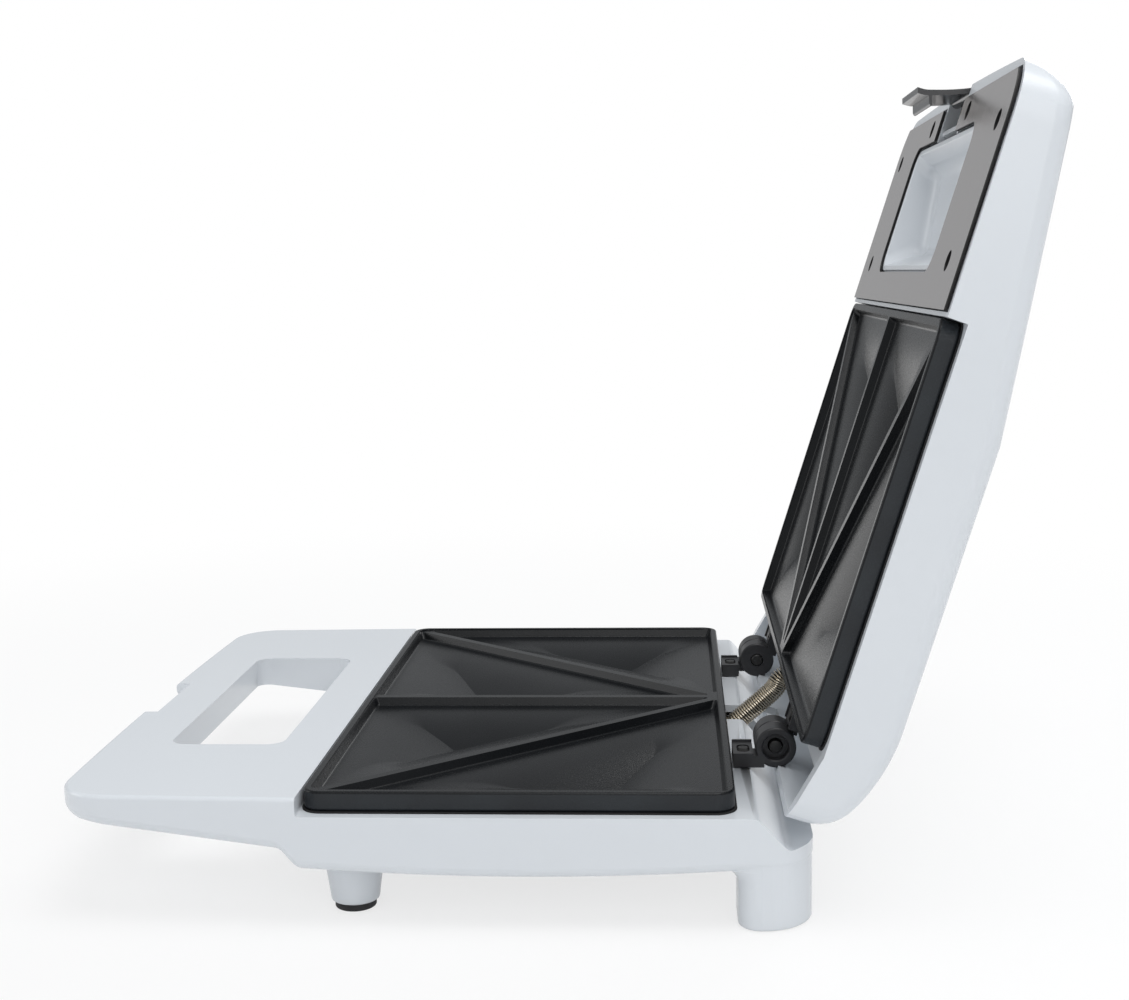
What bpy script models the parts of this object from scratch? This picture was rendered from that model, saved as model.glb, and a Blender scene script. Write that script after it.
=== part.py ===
"""Two-slice sandwich maker, opened flat for use: base with handle, lid on a rear hinge, swinging latch.

Frame: X is the width, -Y the handle end, +Y the hinge end, +Z up, the floor at Z = 0.
Everything is drawn from the rear edge of the lower plate (Y = 0) and from the floor, then centred.
The lid's pieces are drawn closed, about the hinge axis, and hang from an empty that opens them.
"""
import math

import bmesh
import bpy
from mathutils import Matrix, Vector

# Plates: the two cast cooking plates, rim to rim when closed
PLATE_WIDTH = 0.220
PLATE_DEPTH = 0.126
PLATE_CORNER = 0.006
PLATE_RIM_HEIGHT = 0.0058
PLATE_LEDGE_INSET = 0.0012
PLATE_SKIRT_INSET = 0.0044
PLATE_SKIRT_DROP = 0.0085
PLATE_WALL = 0.0024
RIM_WIDTH = 0.0022
RIB_HALF_WIDTH = 0.0013
POCKET_WALL_DEPTH = 0.0034
POCKET_DEPTH = 0.0092
POCKET_WALL_DRAFT = 0.0010
POCKET_CORNER = 0.0030
POCKET_MID_INSET_SHARE = 0.42
POCKET_MID_DEPTH_SHARE = 0.62
POCKET_TIP_SHARE = 0.97
RIM_SKIN = 0.0010
RIM_CHAMFER = 0.0004
BOSS_RADIUS = 0.0040
BOSS_DROP = 0.0186
BOSS_HOLE_RADIUS = 0.0017
BOSS_HOLE_DEPTH = 0.0060
BOSS_PLACE_SHARES = ((0.0, 0.18), (0.0, 0.845), (-0.5, 0.5), (0.5, 0.5))
PAD_RADIUS = 0.0085
PAD_DROP = 0.0116
PAD_PLACE_SHARES = (0.27, 0.47)

# Heights, measured from the plane where the two plates meet
MATING_HEIGHT = 0.0400
MATING_GAP = 0.0004
FIT = 0.0003
CUT_OVERRUN = 0.004

# Base housing
WALL = 0.0025
PLATE_TO_SIDE = 0.0038
BASE_HALF = PLATE_WIDTH / 2 + PLATE_TO_SIDE
TUB_RIM_DROP = 0.0064
TUB_END_DROP = 0.0226
TUB_BELLY = 0.0022
TUB_CORNER = 0.0032
PLATE_SEAT = 0.0040
HANDLE_REACH = 0.0760
HANDLE_TOP_DROP = 0.0009
HANDLE_EDGE_GAP = 0.0008
HANDLE_TAPER = 0.0020
HANDLE_HALF = BASE_HALF - HANDLE_TAPER
HANDLE_CORNER = 0.0170
HANDLE_BOW = 0.0015
HANDLE_ROOT_DROP = 0.0166
HANDLE_TIP_DROP = 0.0098
HANDLE_NOSE_LENGTH = 0.0120
HANDLE_NOSE_DROP = 0.0060
HANDLE_BOW_SHARE = 0.1
HANDLE_STEP_LENGTH = 0.0075
TOP_EDGE_ROUND = 0.0012
GRIP_HALF = 0.0590
GRIP_FRONT = 0.0215
GRIP_REAR = 0.0587
GRIP_CORNER = 0.0050
NOTCH_PLAY = 0.0015
NOTCH_DEPTH = 0.0052
VALLEY_DROP = 0.0166
VALLEY_REAR_DROP = 0.0146
REAR_CORNER = 0.0150
LEG_WIDTH = 0.0200
LEG_FRONT = 0.0005
LEG_TOE = 0.0065
LEG_FLOOR = 0.0030
LEG_INSET = 0.0002
COVER_THICK = 0.0022
COVER_REAR = 0.0040
FOOT_FROM_SIDE = 0.0188
FOOT_BACK = 0.0124
FOOT_TOP_RADIUS = 0.0093
FOOT_BOTTOM_RADIUS = 0.0072
FOOT_PAD_RADIUS = 0.0062
FOOT_PAD_HEIGHT = 0.0020
VENT_COUNT = 7
VENT_LENGTH = 0.0300
VENT_WIDTH = 0.0022
VENT_PITCH = 0.0060
COVER_SCREW_SHARES = (0.72, 0.16)
POST_RADIUS = 0.0030
POST_OFFSET = 0.0028
POST_HOLE_RADIUS = 0.0012
POST_HOLE_DEPTH = 0.0070
HANDLE_SCREW_SHARES = (0.80, 0.40)

# Hinges
HINGE_Y = 0.0140
DECK_TO_HINGE = 0.0080
DECK_FLAT = HINGE_Y - DECK_TO_HINGE
HINGE_TO_VALLEY = 0.0010
VALLEY_START = HINGE_Y + HINGE_TO_VALLEY
HINGE_TO_REAR = 0.0087
BASE_REAR = HINGE_Y + HINGE_TO_REAR
HINGE_X = 0.0580
OPEN_ANGLE = math.radians(107.5)
KNUCKLE_RADIUS = 0.0064
KNUCKLE_WIDTH = 0.0078
KNUCKLE_GAP = 0.0004
KNUCKLE_ROOM = 0.0007
PIN_RADIUS = 0.0021
PIN_PLAY = 0.0003
PIN_END = 0.0012
PIN_CHAMFER = 0.0004
PIN_RECESS = 0.0014
PIN_RECESS_SHARE = 0.58
ARM_THICK = 0.0039
ARM_START = 0.0009
ARM_STOP = 0.0004
ARM_SCREW_RADIUS = 0.0014
ARM_SCREW_HEAD = 0.0024
ARM_SCREW_SINK = 0.0016
ARM_SCREW_Y = 0.0042

# Conduit: the wound steel tube that carries the leads from base to lid
CONDUIT_X = 0.0
CONDUIT_RADIUS = 0.0033
CONDUIT_WIRE = 0.0003
CONDUIT_CURLS = 22
CONDUIT_POINTS = 9
CONDUIT_WINDOW_HALF = 0.0050
CONDUIT_WINDOW_FRONT = -0.0012
CONDUIT_WINDOW_REAR = 0.0138
LID_WINDOW_REAR = 0.0035
LID_WINDOW_FRONT = 0.0154
LID_WINDOW_RISE = 0.0140
LIP_NOTCH_RISE = 0.0068
CONDUIT_FROM_Y = 0.0085
CONDUIT_FROM_DROP = 0.0194
CONDUIT_TO_S = 0.0098
CONDUIT_TO_W = 0.0165
CONDUIT_BEND_DROP = 0.0109
CONDUIT_BEND_W = 0.0042
CONDUIT_LOW_BEND = 0.0160
CONDUIT_TOP_BEND = 0.0075
LEAD_RADIUS = 0.0016
LEAD_POINTS = 18
LEAD_EXTRA = 0.0050

# Lid
LID_REAR = 0.0076
LID_SHORT = 0.0010
LID_LENGTH = HINGE_Y + PLATE_DEPTH + HANDLE_REACH - LID_SHORT
LID_STEP_GAP = 0.0005
LID_STEP = HINGE_Y + PLATE_DEPTH + LID_STEP_GAP
LID_REAR_CORNER = 0.0080
LID_REAR_LIP = 0.0024
LID_HEIGHT = 0.0264
LID_SHOULDER_RISE = 0.0164
LID_SHOULDER_RUN = 0.0333
SLOPE_BEFORE_STEP = 0.0295
LID_FLAT_END = LID_STEP - SLOPE_BEFORE_STEP
SLOPE_TO_NOSE = 0.0125
LID_SLOPE_END = LID_LENGTH - SLOPE_TO_NOSE
LID_SLOPE_RISE = 0.0169
LID_NOSE_RISE = 0.0057
LID_NOSE_FLAT = 0.0010
LID_NOSE_END = LID_LENGTH - LID_NOSE_FLAT
LID_CORNER = 0.0060
LID_ROUND_SHARE = 0.9
LID_FRONT_EDGE = 0.0006
STEEL_THICK = 0.0006
STEEL_INSET = 0.0032
STEP_TO_STEEL = 0.0013
STEEL_REAR = LID_STEP + STEP_TO_STEEL
STEEL_RISE = 0.0004
CUP_WALL = 0.0018
CUP_HALF = 0.0580
STEP_TO_CUP = 0.0150
CUP_REAR = LID_STEP + STEP_TO_CUP
CUP_TO_NOSE = 0.0185
CUP_FRONT = LID_LENGTH - CUP_TO_NOSE
CUP_REAR_DEPTH = 0.0150
CUP_FRONT_DEPTH = 0.0095
CUP_DRAFT = 0.0060
CUP_SIDE_DRAFT = 0.0020
CUP_FLANGE = 0.0024
CUP_FLANGE_THICK = 0.0014
SLOT_WALL = 0.0021
SLOT_RIB_BACK = 0.0023
SLOT_RIB_THICK = 0.0016
SLOT_RIB_DEEP = 0.0014
STEEL_SCREW_SHARES = ((0.805, 0.194), (0.859, 0.740), (0.313, 0.857))
STEEL_SCREW_HEAD = 0.0028
STEEL_SCREW_SHANK = 0.0014
STEEL_SCREW_LENGTH = 0.0080
BOSS_WALL = 0.0022
LENS_X = 0.0140
LENS_TO_STEP = 0.0085
LENS_S = LID_STEP - LENS_TO_STEP
LENS_RADIUS = 0.0040
LENS_DOME = 0.0010
LENS_LEDGE = 0.0010
LAMP_RADIUS = 0.0025
LAMP_LENGTH = 0.0060

# Latch
LATCH_HALF = 0.0180
LATCH_TO_NOSE = 0.0018
LATCH_S = LID_LENGTH - LATCH_TO_NOSE
LATCH_RISE = 0.0026
LATCH_BARREL = 0.0020
LATCH_PIN = 0.0010
LATCH_THICK = 0.0018
LATCH_LENGTH = 0.0185
LATCH_LEAN = math.radians(19.0)
LATCH_HOOK_FROM = 0.0150
LATCH_BACK_SHARE = 0.2
LATCH_HOOK_THICK = 0.0016
LATCH_HOOK_REACH = 0.0034
LATCH_LIP = 0.0018
LATCH_PIN_REACH = 0.0024
LATCH_SLOT_PLAY = 0.0005
SLOT_HALF = LATCH_HALF + LATCH_SLOT_PLAY + SLOT_WALL
NOTCH_HALF = LATCH_HALF + NOTCH_PLAY

# Heating and wiring
ELEMENT_RADIUS = 0.0029
ELEMENT_DROP = 0.0150
ELEMENT_FROM_SIDE = 0.0220
ELEMENT_FRONT_SHARE = 0.755
ELEMENT_REAR_SHARE = 0.24
ELEMENT_END_SHARE = 0.16
ELEMENT_BEND = 0.0160
SHIELD_THICK = 0.0005
SHIELD_MARGIN = 0.0090
SHIELD_RIM = 0.0040
THERMOSTAT_RADIUS = 0.0080
THERMOSTAT_HEIGHT = 0.0062
THERMOSTAT_FLANGE = 0.0012
THERMOSTAT_BODY_SHARE = 0.8
CLIP_WIDTH = 0.0080
CLIP_LENGTH = 0.0140
CLIP_THICK = 0.0004
FUSE_RADIUS = 0.0022
FUSE_LENGTH = 0.0220
FUSE_TIP_SHARE = 0.4
TERMINAL_LENGTH = 0.0300
TERMINAL_DEPTH = 0.0080
TERMINAL_HEIGHT = 0.0060
GLAND_HALF_WIDTH = 0.0046
GLAND_HALF_HEIGHT = 0.0022
GLAND_FLANGE = 0.0008
GLAND_BORE_HALF_WIDTH = 0.0030
GLAND_BORE_RADIUS = 0.0014
SCREW_HEAD_RADIUS = 0.0029
SCREW_HEAD_HEIGHT = 0.0014
SCREW_SHANK_RADIUS = 0.0014
SCREW_LENGTH = 0.0060
SCREW_CROWN_SHARE = 0.7

MILLIMETRE = 0.001
ROUND_STEPS = 3
CIRCLE_STEPS = 24
SCREW_STEPS = 8

REAR_EDGE = 0.0
FRONT_EDGE = -PLATE_DEPTH
HANDLE_END = FRONT_EDGE - HANDLE_REACH
HINGE_Z = MATING_HEIGHT + MATING_GAP / 2
RIM_RISE = MATING_GAP / 2


def material(name, colour, roughness, metallic=0.0):
    """A Principled material with a plain colour."""
    made = bpy.data.materials.new(name)
    made.use_nodes = True
    shader = made.node_tree.nodes["Principled BSDF"]
    shader.inputs["Base Color"].default_value = (*colour, 1.0)
    shader.inputs["Roughness"].default_value = roughness
    shader.inputs["Metallic"].default_value = metallic
    made.diffuse_color = (*colour, 1.0)
    return made


def piece(name, vertices, faces, look=None):
    """A mesh object from points and faces, with its normals turned outwards."""
    mesh = bpy.data.meshes.new(name)
    mesh.from_pydata([tuple(v) for v in vertices], [], faces)
    shape = bmesh.new()
    shape.from_mesh(mesh)
    bmesh.ops.recalc_face_normals(shape, faces=shape.faces)
    shape.to_mesh(mesh)
    shape.free()
    made = bpy.data.objects.new(name, mesh)
    bpy.context.collection.objects.link(made)
    if look:
        mesh.materials.append(look)
    return made


def loft(name, rings, look=None):
    """A closed skin through rings that have the same number of points, with flat ends."""
    count = len(rings[0])
    vertices = [point for ring in rings for point in ring]
    faces = []
    for r in range(len(rings) - 1):
        for i in range(count):
            j = (i + 1) % count
            faces.append((r * count + i, r * count + j, (r + 1) * count + j, (r + 1) * count + i))
    faces.append(tuple(range(count)))
    faces.append(tuple(range((len(rings) - 1) * count, len(rings) * count)))
    return piece(name, vertices, faces, look)


def rounded_rectangle(low_u, high_u, low_v, high_v, radius, steps=ROUND_STEPS):
    """Corner-rounded rectangle as (u, v) points, counter-clockwise."""
    radius = min(radius, (high_u - low_u) / 2, (high_v - low_v) / 2)
    corners = ((high_u - radius, high_v - radius, 0), (low_u + radius, high_v - radius, 1),
               (low_u + radius, low_v + radius, 2), (high_u - radius, low_v + radius, 3))
    points = []
    for u, v, quarter in corners:
        for k in range(steps + 1):
            angle = math.pi / 2 * (quarter + k / steps)
            points.append((u + radius * math.cos(angle), v + radius * math.sin(angle)))
    return points


def upright(name, outline, low, high, look=None):
    """An outline in X and Y, raised from low to high."""
    return loft(name, [[(u, v, z) for u, v in outline] for z in (low, high)], look)


def crosswise(name, outline, low, high, look=None):
    """An outline in Y and Z, drawn out along X from low to high."""
    return loft(name, [[(x, u, v) for u, v in outline] for x in (low, high)], look)


def box(name, low, high, look=None):
    """A box between two corners."""
    outline = ((low[0], low[1]), (high[0], low[1]), (high[0], high[1]), (low[0], high[1]))
    return upright(name, outline, low[2], high[2], look)


def turned(name, profile, place, axis, look=None, steps=CIRCLE_STEPS):
    """A solid of revolution: profile is (radius, distance along the axis) between two flat ends."""
    turn = Vector((0, 0, 1)).rotation_difference(Vector(axis)).to_matrix()
    rings = []
    for radius, along in profile:
        ring = []
        for k in range(steps):
            angle = 2 * math.pi * k / steps
            point = Vector((radius * math.cos(angle), radius * math.sin(angle), along))
            ring.append(tuple(turn @ point + Vector(place)))
        rings.append(ring)
    return loft(name, rings, look)


def combine(target, others, operation):
    """Adds, removes or keeps what is shared with the other bodies, which are used up."""
    for other in others:
        step = target.modifiers.new(operation.lower(), "BOOLEAN")
        step.operation = operation
        step.solver = "EXACT"
        step.object = other
    bpy.context.view_layer.update()
    evaluated = target.evaluated_get(bpy.context.evaluated_depsgraph_get())
    result = bpy.data.meshes.new_from_object(evaluated)
    target.modifiers.clear()
    old = target.data
    target.data = result
    bpy.data.meshes.remove(old)
    for other in others:
        mesh = other.data
        bpy.data.objects.remove(other)
        bpy.data.meshes.remove(mesh)
    return target


def cut(target, *others):
    """Removes the other bodies from the target."""
    return combine(target, others, "DIFFERENCE")


def join(target, *others):
    """Adds the other bodies to the target."""
    return combine(target, others, "UNION")


def finish(made, parent=None, smooth_below=math.radians(35.0)):
    """Shades round surfaces smooth and hangs the piece from its parent."""
    made.data.shade_smooth()
    made.data.set_sharp_from_angle(angle=smooth_below)
    if parent:
        made.parent = parent
    return made


def pivot(name, place, turn, parent=None):
    """An empty on a joint's axis, turned about X."""
    made = bpy.data.objects.new(name, None)
    bpy.context.collection.objects.link(made)
    made.location = place
    made.rotation_euler = (turn, 0, 0)
    if parent:
        made.parent = parent
    return made


def height(drop):
    """The world height of a place that lies a drop below the mating plane."""
    return MATING_HEIGHT - drop


def base_half_width(y):
    """Half width of the base's outline at a station along Y."""
    corner_y = HANDLE_END + HANDLE_BOW + HANDLE_CORNER
    rear_y = BASE_REAR - REAR_CORNER
    if y > rear_y:
        return BASE_HALF - REAR_CORNER + math.sqrt(max(REAR_CORNER ** 2 - (y - rear_y) ** 2, 0))
    if y > FRONT_EDGE:
        return BASE_HALF
    if y > corner_y:
        return HANDLE_HALF + (BASE_HALF - HANDLE_HALF) * (y - corner_y) / (FRONT_EDGE - corner_y)
    inner = HANDLE_HALF - HANDLE_CORNER
    if y > corner_y - HANDLE_CORNER:
        return inner + math.sqrt(HANDLE_CORNER ** 2 - (corner_y - y) ** 2)
    return inner * math.sqrt(max((y - HANDLE_END) / HANDLE_BOW, HANDLE_BOW_SHARE))


def base_under_drop(y):
    """Drop of the base's underside below the mating plane at a station along Y."""
    nose_y = HANDLE_END + HANDLE_NOSE_LENGTH
    step_y = FRONT_EDGE - HANDLE_STEP_LENGTH
    if y < nose_y:
        share = max((y - HANDLE_END) / HANDLE_NOSE_LENGTH, 0)
        return HANDLE_NOSE_DROP + (HANDLE_TIP_DROP - HANDLE_NOSE_DROP) * math.sqrt(1 - (1 - share) ** 2)
    if y < step_y:
        return HANDLE_TIP_DROP + (HANDLE_ROOT_DROP - HANDLE_TIP_DROP) * (y - nose_y) / (step_y - nose_y)
    if y < FRONT_EDGE:
        share = (y - step_y) / HANDLE_STEP_LENGTH
        return HANDLE_ROOT_DROP + (TUB_END_DROP - HANDLE_ROOT_DROP) * share ** 2 * (3 - 2 * share)
    if y < REAR_EDGE:
        share = (y - FRONT_EDGE) / PLATE_DEPTH
        return TUB_END_DROP + TUB_BELLY * 4 * share * (1 - share)
    return TUB_END_DROP


def base_top_drop(y):
    """Drop of the base's top below the mating plane at a station along Y."""
    if y < FRONT_EDGE - HANDLE_EDGE_GAP:
        return HANDLE_TOP_DROP
    if y < DECK_FLAT:
        return TUB_RIM_DROP
    if y < VALLEY_START:
        return TUB_RIM_DROP + (VALLEY_DROP - TUB_RIM_DROP) * (y - DECK_FLAT) / (VALLEY_START - DECK_FLAT)
    return VALLEY_DROP + (VALLEY_REAR_DROP - VALLEY_DROP) * (y - VALLEY_START) / (BASE_REAR - VALLEY_START)


def handle_stations():
    """Stations along the handle, closer together round its corners and at its root."""
    corner_y = HANDLE_END + HANDLE_BOW + HANDLE_CORNER
    round_steps = 5
    stations = [HANDLE_END, HANDLE_END + HANDLE_BOW / 2]
    for k in range(round_steps + 1):
        stations.append(corner_y - HANDLE_CORNER * math.cos(math.pi / 2 * k / round_steps))
    step_y = FRONT_EDGE - HANDLE_STEP_LENGTH
    stations += [(corner_y + step_y) / 2, step_y]
    stations += [step_y + HANDLE_STEP_LENGTH * k / round_steps for k in range(1, round_steps)]
    return stations


def tub_stations(steps=6):
    """Stations along the tub from the plate's front edge to its rear edge."""
    return [FRONT_EDGE + PLATE_DEPTH * k / steps for k in range(steps + 1)]


def rear_stations(steps=4):
    """Stations behind the plate: deck, slope, valley and rear corner."""
    rear_y = BASE_REAR - REAR_CORNER
    stations = [DECK_FLAT]
    for k in range(steps + 1):
        stations.append(rear_y + REAR_CORNER * math.sin(math.pi / 2 * k / steps))
    stations.append(VALLEY_START)
    return sorted(set(stations))


def section(y, inset, top, bottom, radius, top_radius):
    """A ring of the base across X at one station, with unlike radii above and below."""
    half = base_half_width(y) - inset
    ring = []
    for quarter in range(4):
        rounding = top_radius if quarter < 2 else radius
        middle_u = (half - rounding) * (1 if quarter in (0, 3) else -1)
        middle_v = top - rounding if quarter < 2 else bottom + rounding
        for k in range(ROUND_STEPS + 1):
            angle = math.pi / 2 * (quarter + k / ROUND_STEPS)
            ring.append((middle_u + rounding * math.cos(angle), y, middle_v + rounding * math.sin(angle)))
    return ring


def base_body(name, look):
    """The outer form of handle, tub and rear deck as one solid."""
    handle_rear = FRONT_EDGE - HANDLE_EDGE_GAP
    rings = []
    for y in handle_stations() + [handle_rear]:
        rings.append(section(y, 0, height(HANDLE_TOP_DROP), height(base_under_drop(y)), TUB_CORNER,
                             TOP_EDGE_ROUND))
    for y in [handle_rear + HANDLE_EDGE_GAP / 2] + tub_stations() + rear_stations():
        rings.append(section(y, 0, height(base_top_drop(y)), height(base_under_drop(y)), TUB_CORNER,
                             TOP_EDGE_ROUND))
    return loft(name, rings, look)


def leg_outline(side):
    """Plan of one rear leg, a little inside the tub's own plan."""
    outer = BASE_HALF - LEG_INSET
    rear = BASE_REAR - LEG_INSET
    inner = outer - LEG_WIDTH
    points = [(inner, rear), (inner, LEG_FRONT)]
    steps = 4
    for k in range(steps + 1):
        angle = -math.pi / 2 + math.pi / 2 * k / steps
        points.append((outer - LEG_TOE + LEG_TOE * math.cos(angle),
                       LEG_FRONT + LEG_TOE + LEG_TOE * math.sin(angle)))
    for k in range(steps + 1):
        angle = math.pi / 2 * k / steps
        centre = (outer - REAR_CORNER, rear - REAR_CORNER)
        points.append((centre[0] + REAR_CORNER * math.cos(angle), centre[1] + REAR_CORNER * math.sin(angle)))
    return [(side * x, y) for x, y in points]


def grip_outline(grow):
    """Plan of the finger opening in the base handle."""
    return rounded_rectangle(-GRIP_HALF - grow, GRIP_HALF + grow, HANDLE_END + GRIP_FRONT - grow,
                             HANDLE_END + GRIP_REAR + grow, GRIP_CORNER + grow)


def notch_outline():
    """Side outline of the latch notch: its inner face leans as the latch does."""
    floor_y = HANDLE_END + NOTCH_DEPTH
    lean = math.tan(LATCH_LEAN)
    rise = CUT_OVERRUN
    fall = HANDLE_TIP_DROP + CUT_OVERRUN
    return [(HANDLE_END - CUT_OVERRUN, height(HANDLE_TOP_DROP) + rise),
            (HANDLE_END - CUT_OVERRUN, height(fall)),
            (floor_y + lean * (fall - HANDLE_TOP_DROP), height(fall)),
            (floor_y - lean * rise, height(HANDLE_TOP_DROP) + rise)]


def base_cavity():
    """The hollow of the housing: open underneath below handle and tub, closed between the legs."""
    below = height(TUB_END_DROP + TUB_BELLY + CUT_OVERRUN)
    floor = height(TUB_END_DROP) + WALL
    front = HANDLE_END + HANDLE_BOW + WALL
    handle_rear = FRONT_EDGE - HANDLE_EDGE_GAP - WALL
    cover_rear = REAR_EDGE - COVER_REAR
    inner = [y for y in handle_stations() if front + WALL < y < handle_rear]
    places = [(y, HANDLE_TOP_DROP, below) for y in [front] + inner]
    places += [(handle_rear, HANDLE_TOP_DROP, below), (handle_rear + FIT, TUB_RIM_DROP, below)]
    places += [(FRONT_EDGE, TUB_RIM_DROP, below), (cover_rear, TUB_RIM_DROP, below),
               (cover_rear + FIT, TUB_RIM_DROP, floor)]
    rear_stops = (DECK_FLAT - WALL / 2, VALLEY_START - WALL / 2, BASE_REAR - WALL)
    places += [(y, base_top_drop(y), floor) for y in rear_stops]
    return loft("hollow", [section(y, WALL, height(drop) - WALL, low, TUB_CORNER - WALL, TUB_CORNER - WALL)
                           for y, drop, low in places])


def leg_cavity(side):
    """The hollow of one rear leg, closed at the floor and open into the tub above."""
    outer = BASE_HALF - LEG_INSET - WALL
    inner = BASE_HALF - LEG_INSET - LEG_WIDTH + WALL
    low = (min(side * outer, side * inner), LEG_FRONT + WALL)
    high = (max(side * outer, side * inner), BASE_REAR - WALL)
    outline = rounded_rectangle(low[0], high[0], low[1], high[1], LEG_TOE)
    return upright("leg hollow", outline, LEG_FLOOR, height(TUB_END_DROP) + WALL + FIT)


def base_housing(look):
    """One moulding: handle top, tub walls and seat, rear deck with its valley, and the rear legs."""
    body = base_body("base_housing", look)
    legs = [upright("leg", leg_outline(side), 0, height(VALLEY_DROP + WALL)) for side in (-1, 1)]
    join(body, *legs)
    cut(body, base_cavity(), leg_cavity(-1), leg_cavity(1))
    over = height(-CUT_OVERRUN)
    under = height(TUB_END_DROP + CUT_OVERRUN)
    top = height(HANDLE_TOP_DROP) - TOP_EDGE_ROUND
    sleeve = upright("grip sleeve", grip_outline(WALL), under, top)
    notch_wall = box("notch wall", (-NOTCH_HALF - WALL, HANDLE_END + HANDLE_BOW, under),
                     (NOTCH_HALF + WALL, HANDLE_END + NOTCH_DEPTH + 2 * WALL, top))
    limits = base_body("limits", look)
    limits.data.transform(Matrix.Translation((0, 0, FIT)))
    join(body, combine(join(sleeve, notch_wall), [limits], "INTERSECT"))
    join(body, *[cover_post(x, y, TUB_RIM_DROP + WALL) for x, y in cover_screw_places()])
    join(body, *[cover_post(x, y, HANDLE_TOP_DROP + WALL) for x, y in handle_screw_places()])
    seat = upright("plate opening", plate_outline(PLATE_SEAT), height(TUB_RIM_DROP) - 2 * WALL, over)
    grip = upright("grip opening", grip_outline(0), under, over)
    notch = crosswise("notch", notch_outline(), -NOTCH_HALF, NOTCH_HALF)
    window = box("conduit window",
                 (CONDUIT_X - CONDUIT_WINDOW_HALF, CONDUIT_WINDOW_FRONT, height(TUB_END_DROP) + 2 * WALL),
                 (CONDUIT_X + CONDUIT_WINDOW_HALF, CONDUIT_WINDOW_REAR, over))
    gland_height = (height(VALLEY_REAR_DROP) + height(TUB_END_DROP)) / 2
    gland = gland_hole("gland hole", GLAND_HALF_WIDTH - GLAND_FLANGE + FIT,
                       GLAND_HALF_HEIGHT - GLAND_FLANGE + FIT,
                       BASE_REAR - 2 * WALL, BASE_REAR + CUT_OVERRUN, gland_height)
    cut(body, seat, grip, notch, window, gland)
    cut(body, *[arm_screw_hole(side, height(TUB_RIM_DROP) - 2 * WALL, over) for side in (-1, 1)])
    places = cover_screw_places() + handle_screw_places()
    return finish(cut(body, *[post_hole(x, y, base_under_drop(y)) for x, y in places]))


def cover_post(x, y, top_drop):
    """A screw post that stands clear of a sloping cover and joins the skin above it."""
    under_drop = min(base_under_drop(y - POST_RADIUS), base_under_drop(y + POST_RADIUS))
    profile = [(POST_RADIUS, height(under_drop) + COVER_THICK + FIT), (POST_RADIUS, height(top_drop) + FIT)]
    return turned("post", profile, (x, y, 0), (0, 0, 1), steps=SCREW_STEPS)


def post_hole(x, y, under_drop):
    """The pilot hole in a screw post."""
    low = height(under_drop)
    return turned("pilot", [(POST_HOLE_RADIUS, low), (POST_HOLE_RADIUS, low + COVER_THICK + POST_HOLE_DEPTH)],
                  (x, y, 0), (0, 0, 1), steps=SCREW_STEPS)


def gland_hole(name, half_width, half_height, low, high, centre_z, look=None):
    """A flat oval bar along Y, used for the cord gland and its holes."""
    outline = rounded_rectangle(-half_width, half_width, centre_z - half_height, centre_z + half_height,
                                half_height)
    return loft(name, [[(u, y, v) for u, v in outline] for y in (low, high)], look)


def arm_screw_hole(side, low, high):
    """The hole for a hinge bracket's screw."""
    return turned("screw hole", [(ARM_SCREW_RADIUS + FIT, low), (ARM_SCREW_RADIUS + FIT, high)],
                  (side * HINGE_X, ARM_SCREW_Y, 0), (0, 0, 1), steps=SCREW_STEPS)


def foot_place(side):
    """Plan position of a front foot."""
    return side * (BASE_HALF - FOOT_FROM_SIDE), FRONT_EDGE + FOOT_BACK


def cover_screw_places():
    """Plan positions of the bottom cover's screws."""
    x = PLATE_WIDTH / 2 - PLATE_SEAT + POST_OFFSET
    return [(side * x, FRONT_EDGE * share) for side in (-1, 1) for share in COVER_SCREW_SHARES]


def handle_screw_places():
    """Plan positions of the handle cover's screws."""
    across, along = HANDLE_SCREW_SHARES
    return [(side * across * HANDLE_HALF, FRONT_EDGE - along * HANDLE_REACH) for side in (-1, 1)]


def panel(name, stations, inset, thick, look, lift=0.0):
    """A thin panel that follows the base's underside inside its walls."""
    rings = []
    for y in stations:
        low = height(base_under_drop(y)) + lift
        half = base_half_width(y) - inset
        rings.append([(-half, y, low), (half, y, low), (half, y, low + thick), (-half, y, low + thick)])
    return loft(name, rings, look)


def base_bottom_cover(look):
    """The tub's bottom panel with its vents and the two front foot cones."""
    stations = [FRONT_EDGE + FIT] + tub_stations()[1:-1] + [REAR_EDGE - COVER_REAR - FIT]
    body = panel("base_bottom_cover", stations, WALL + FIT, COVER_THICK, look)
    for side in (-1, 1):
        x, y = foot_place(side)
        top = height(base_under_drop(y)) + COVER_THICK / 2
        cone = turned("foot cone", [(FOOT_BOTTOM_RADIUS, FOOT_PAD_HEIGHT + FIT), (FOOT_TOP_RADIUS, top)],
                      (x, y, 0), (0, 0, 1))
        join(body, cone)
    vents = []
    for k in range(VENT_COUNT):
        y = FRONT_EDGE / 2 + (k - (VENT_COUNT - 1) / 2) * VENT_PITCH
        outline = rounded_rectangle(-VENT_LENGTH / 2, VENT_LENGTH / 2, y - VENT_WIDTH / 2, y + VENT_WIDTH / 2,
                                    VENT_WIDTH / 2, 2)
        vents.append(upright("vent", outline, 0, height(TUB_RIM_DROP)))
    holes = [screw_hole(x, y, 0, height(TUB_RIM_DROP)) for x, y in cover_screw_places()]
    return finish(cut(body, *vents, *holes))


def screw_hole(x, y, low, high):
    """A clearance hole for a panel screw."""
    radius = SCREW_SHANK_RADIUS + FIT
    return turned("screw hole", [(radius, low), (radius, high)], (x, y, 0), (0, 0, 1), steps=SCREW_STEPS)


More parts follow.
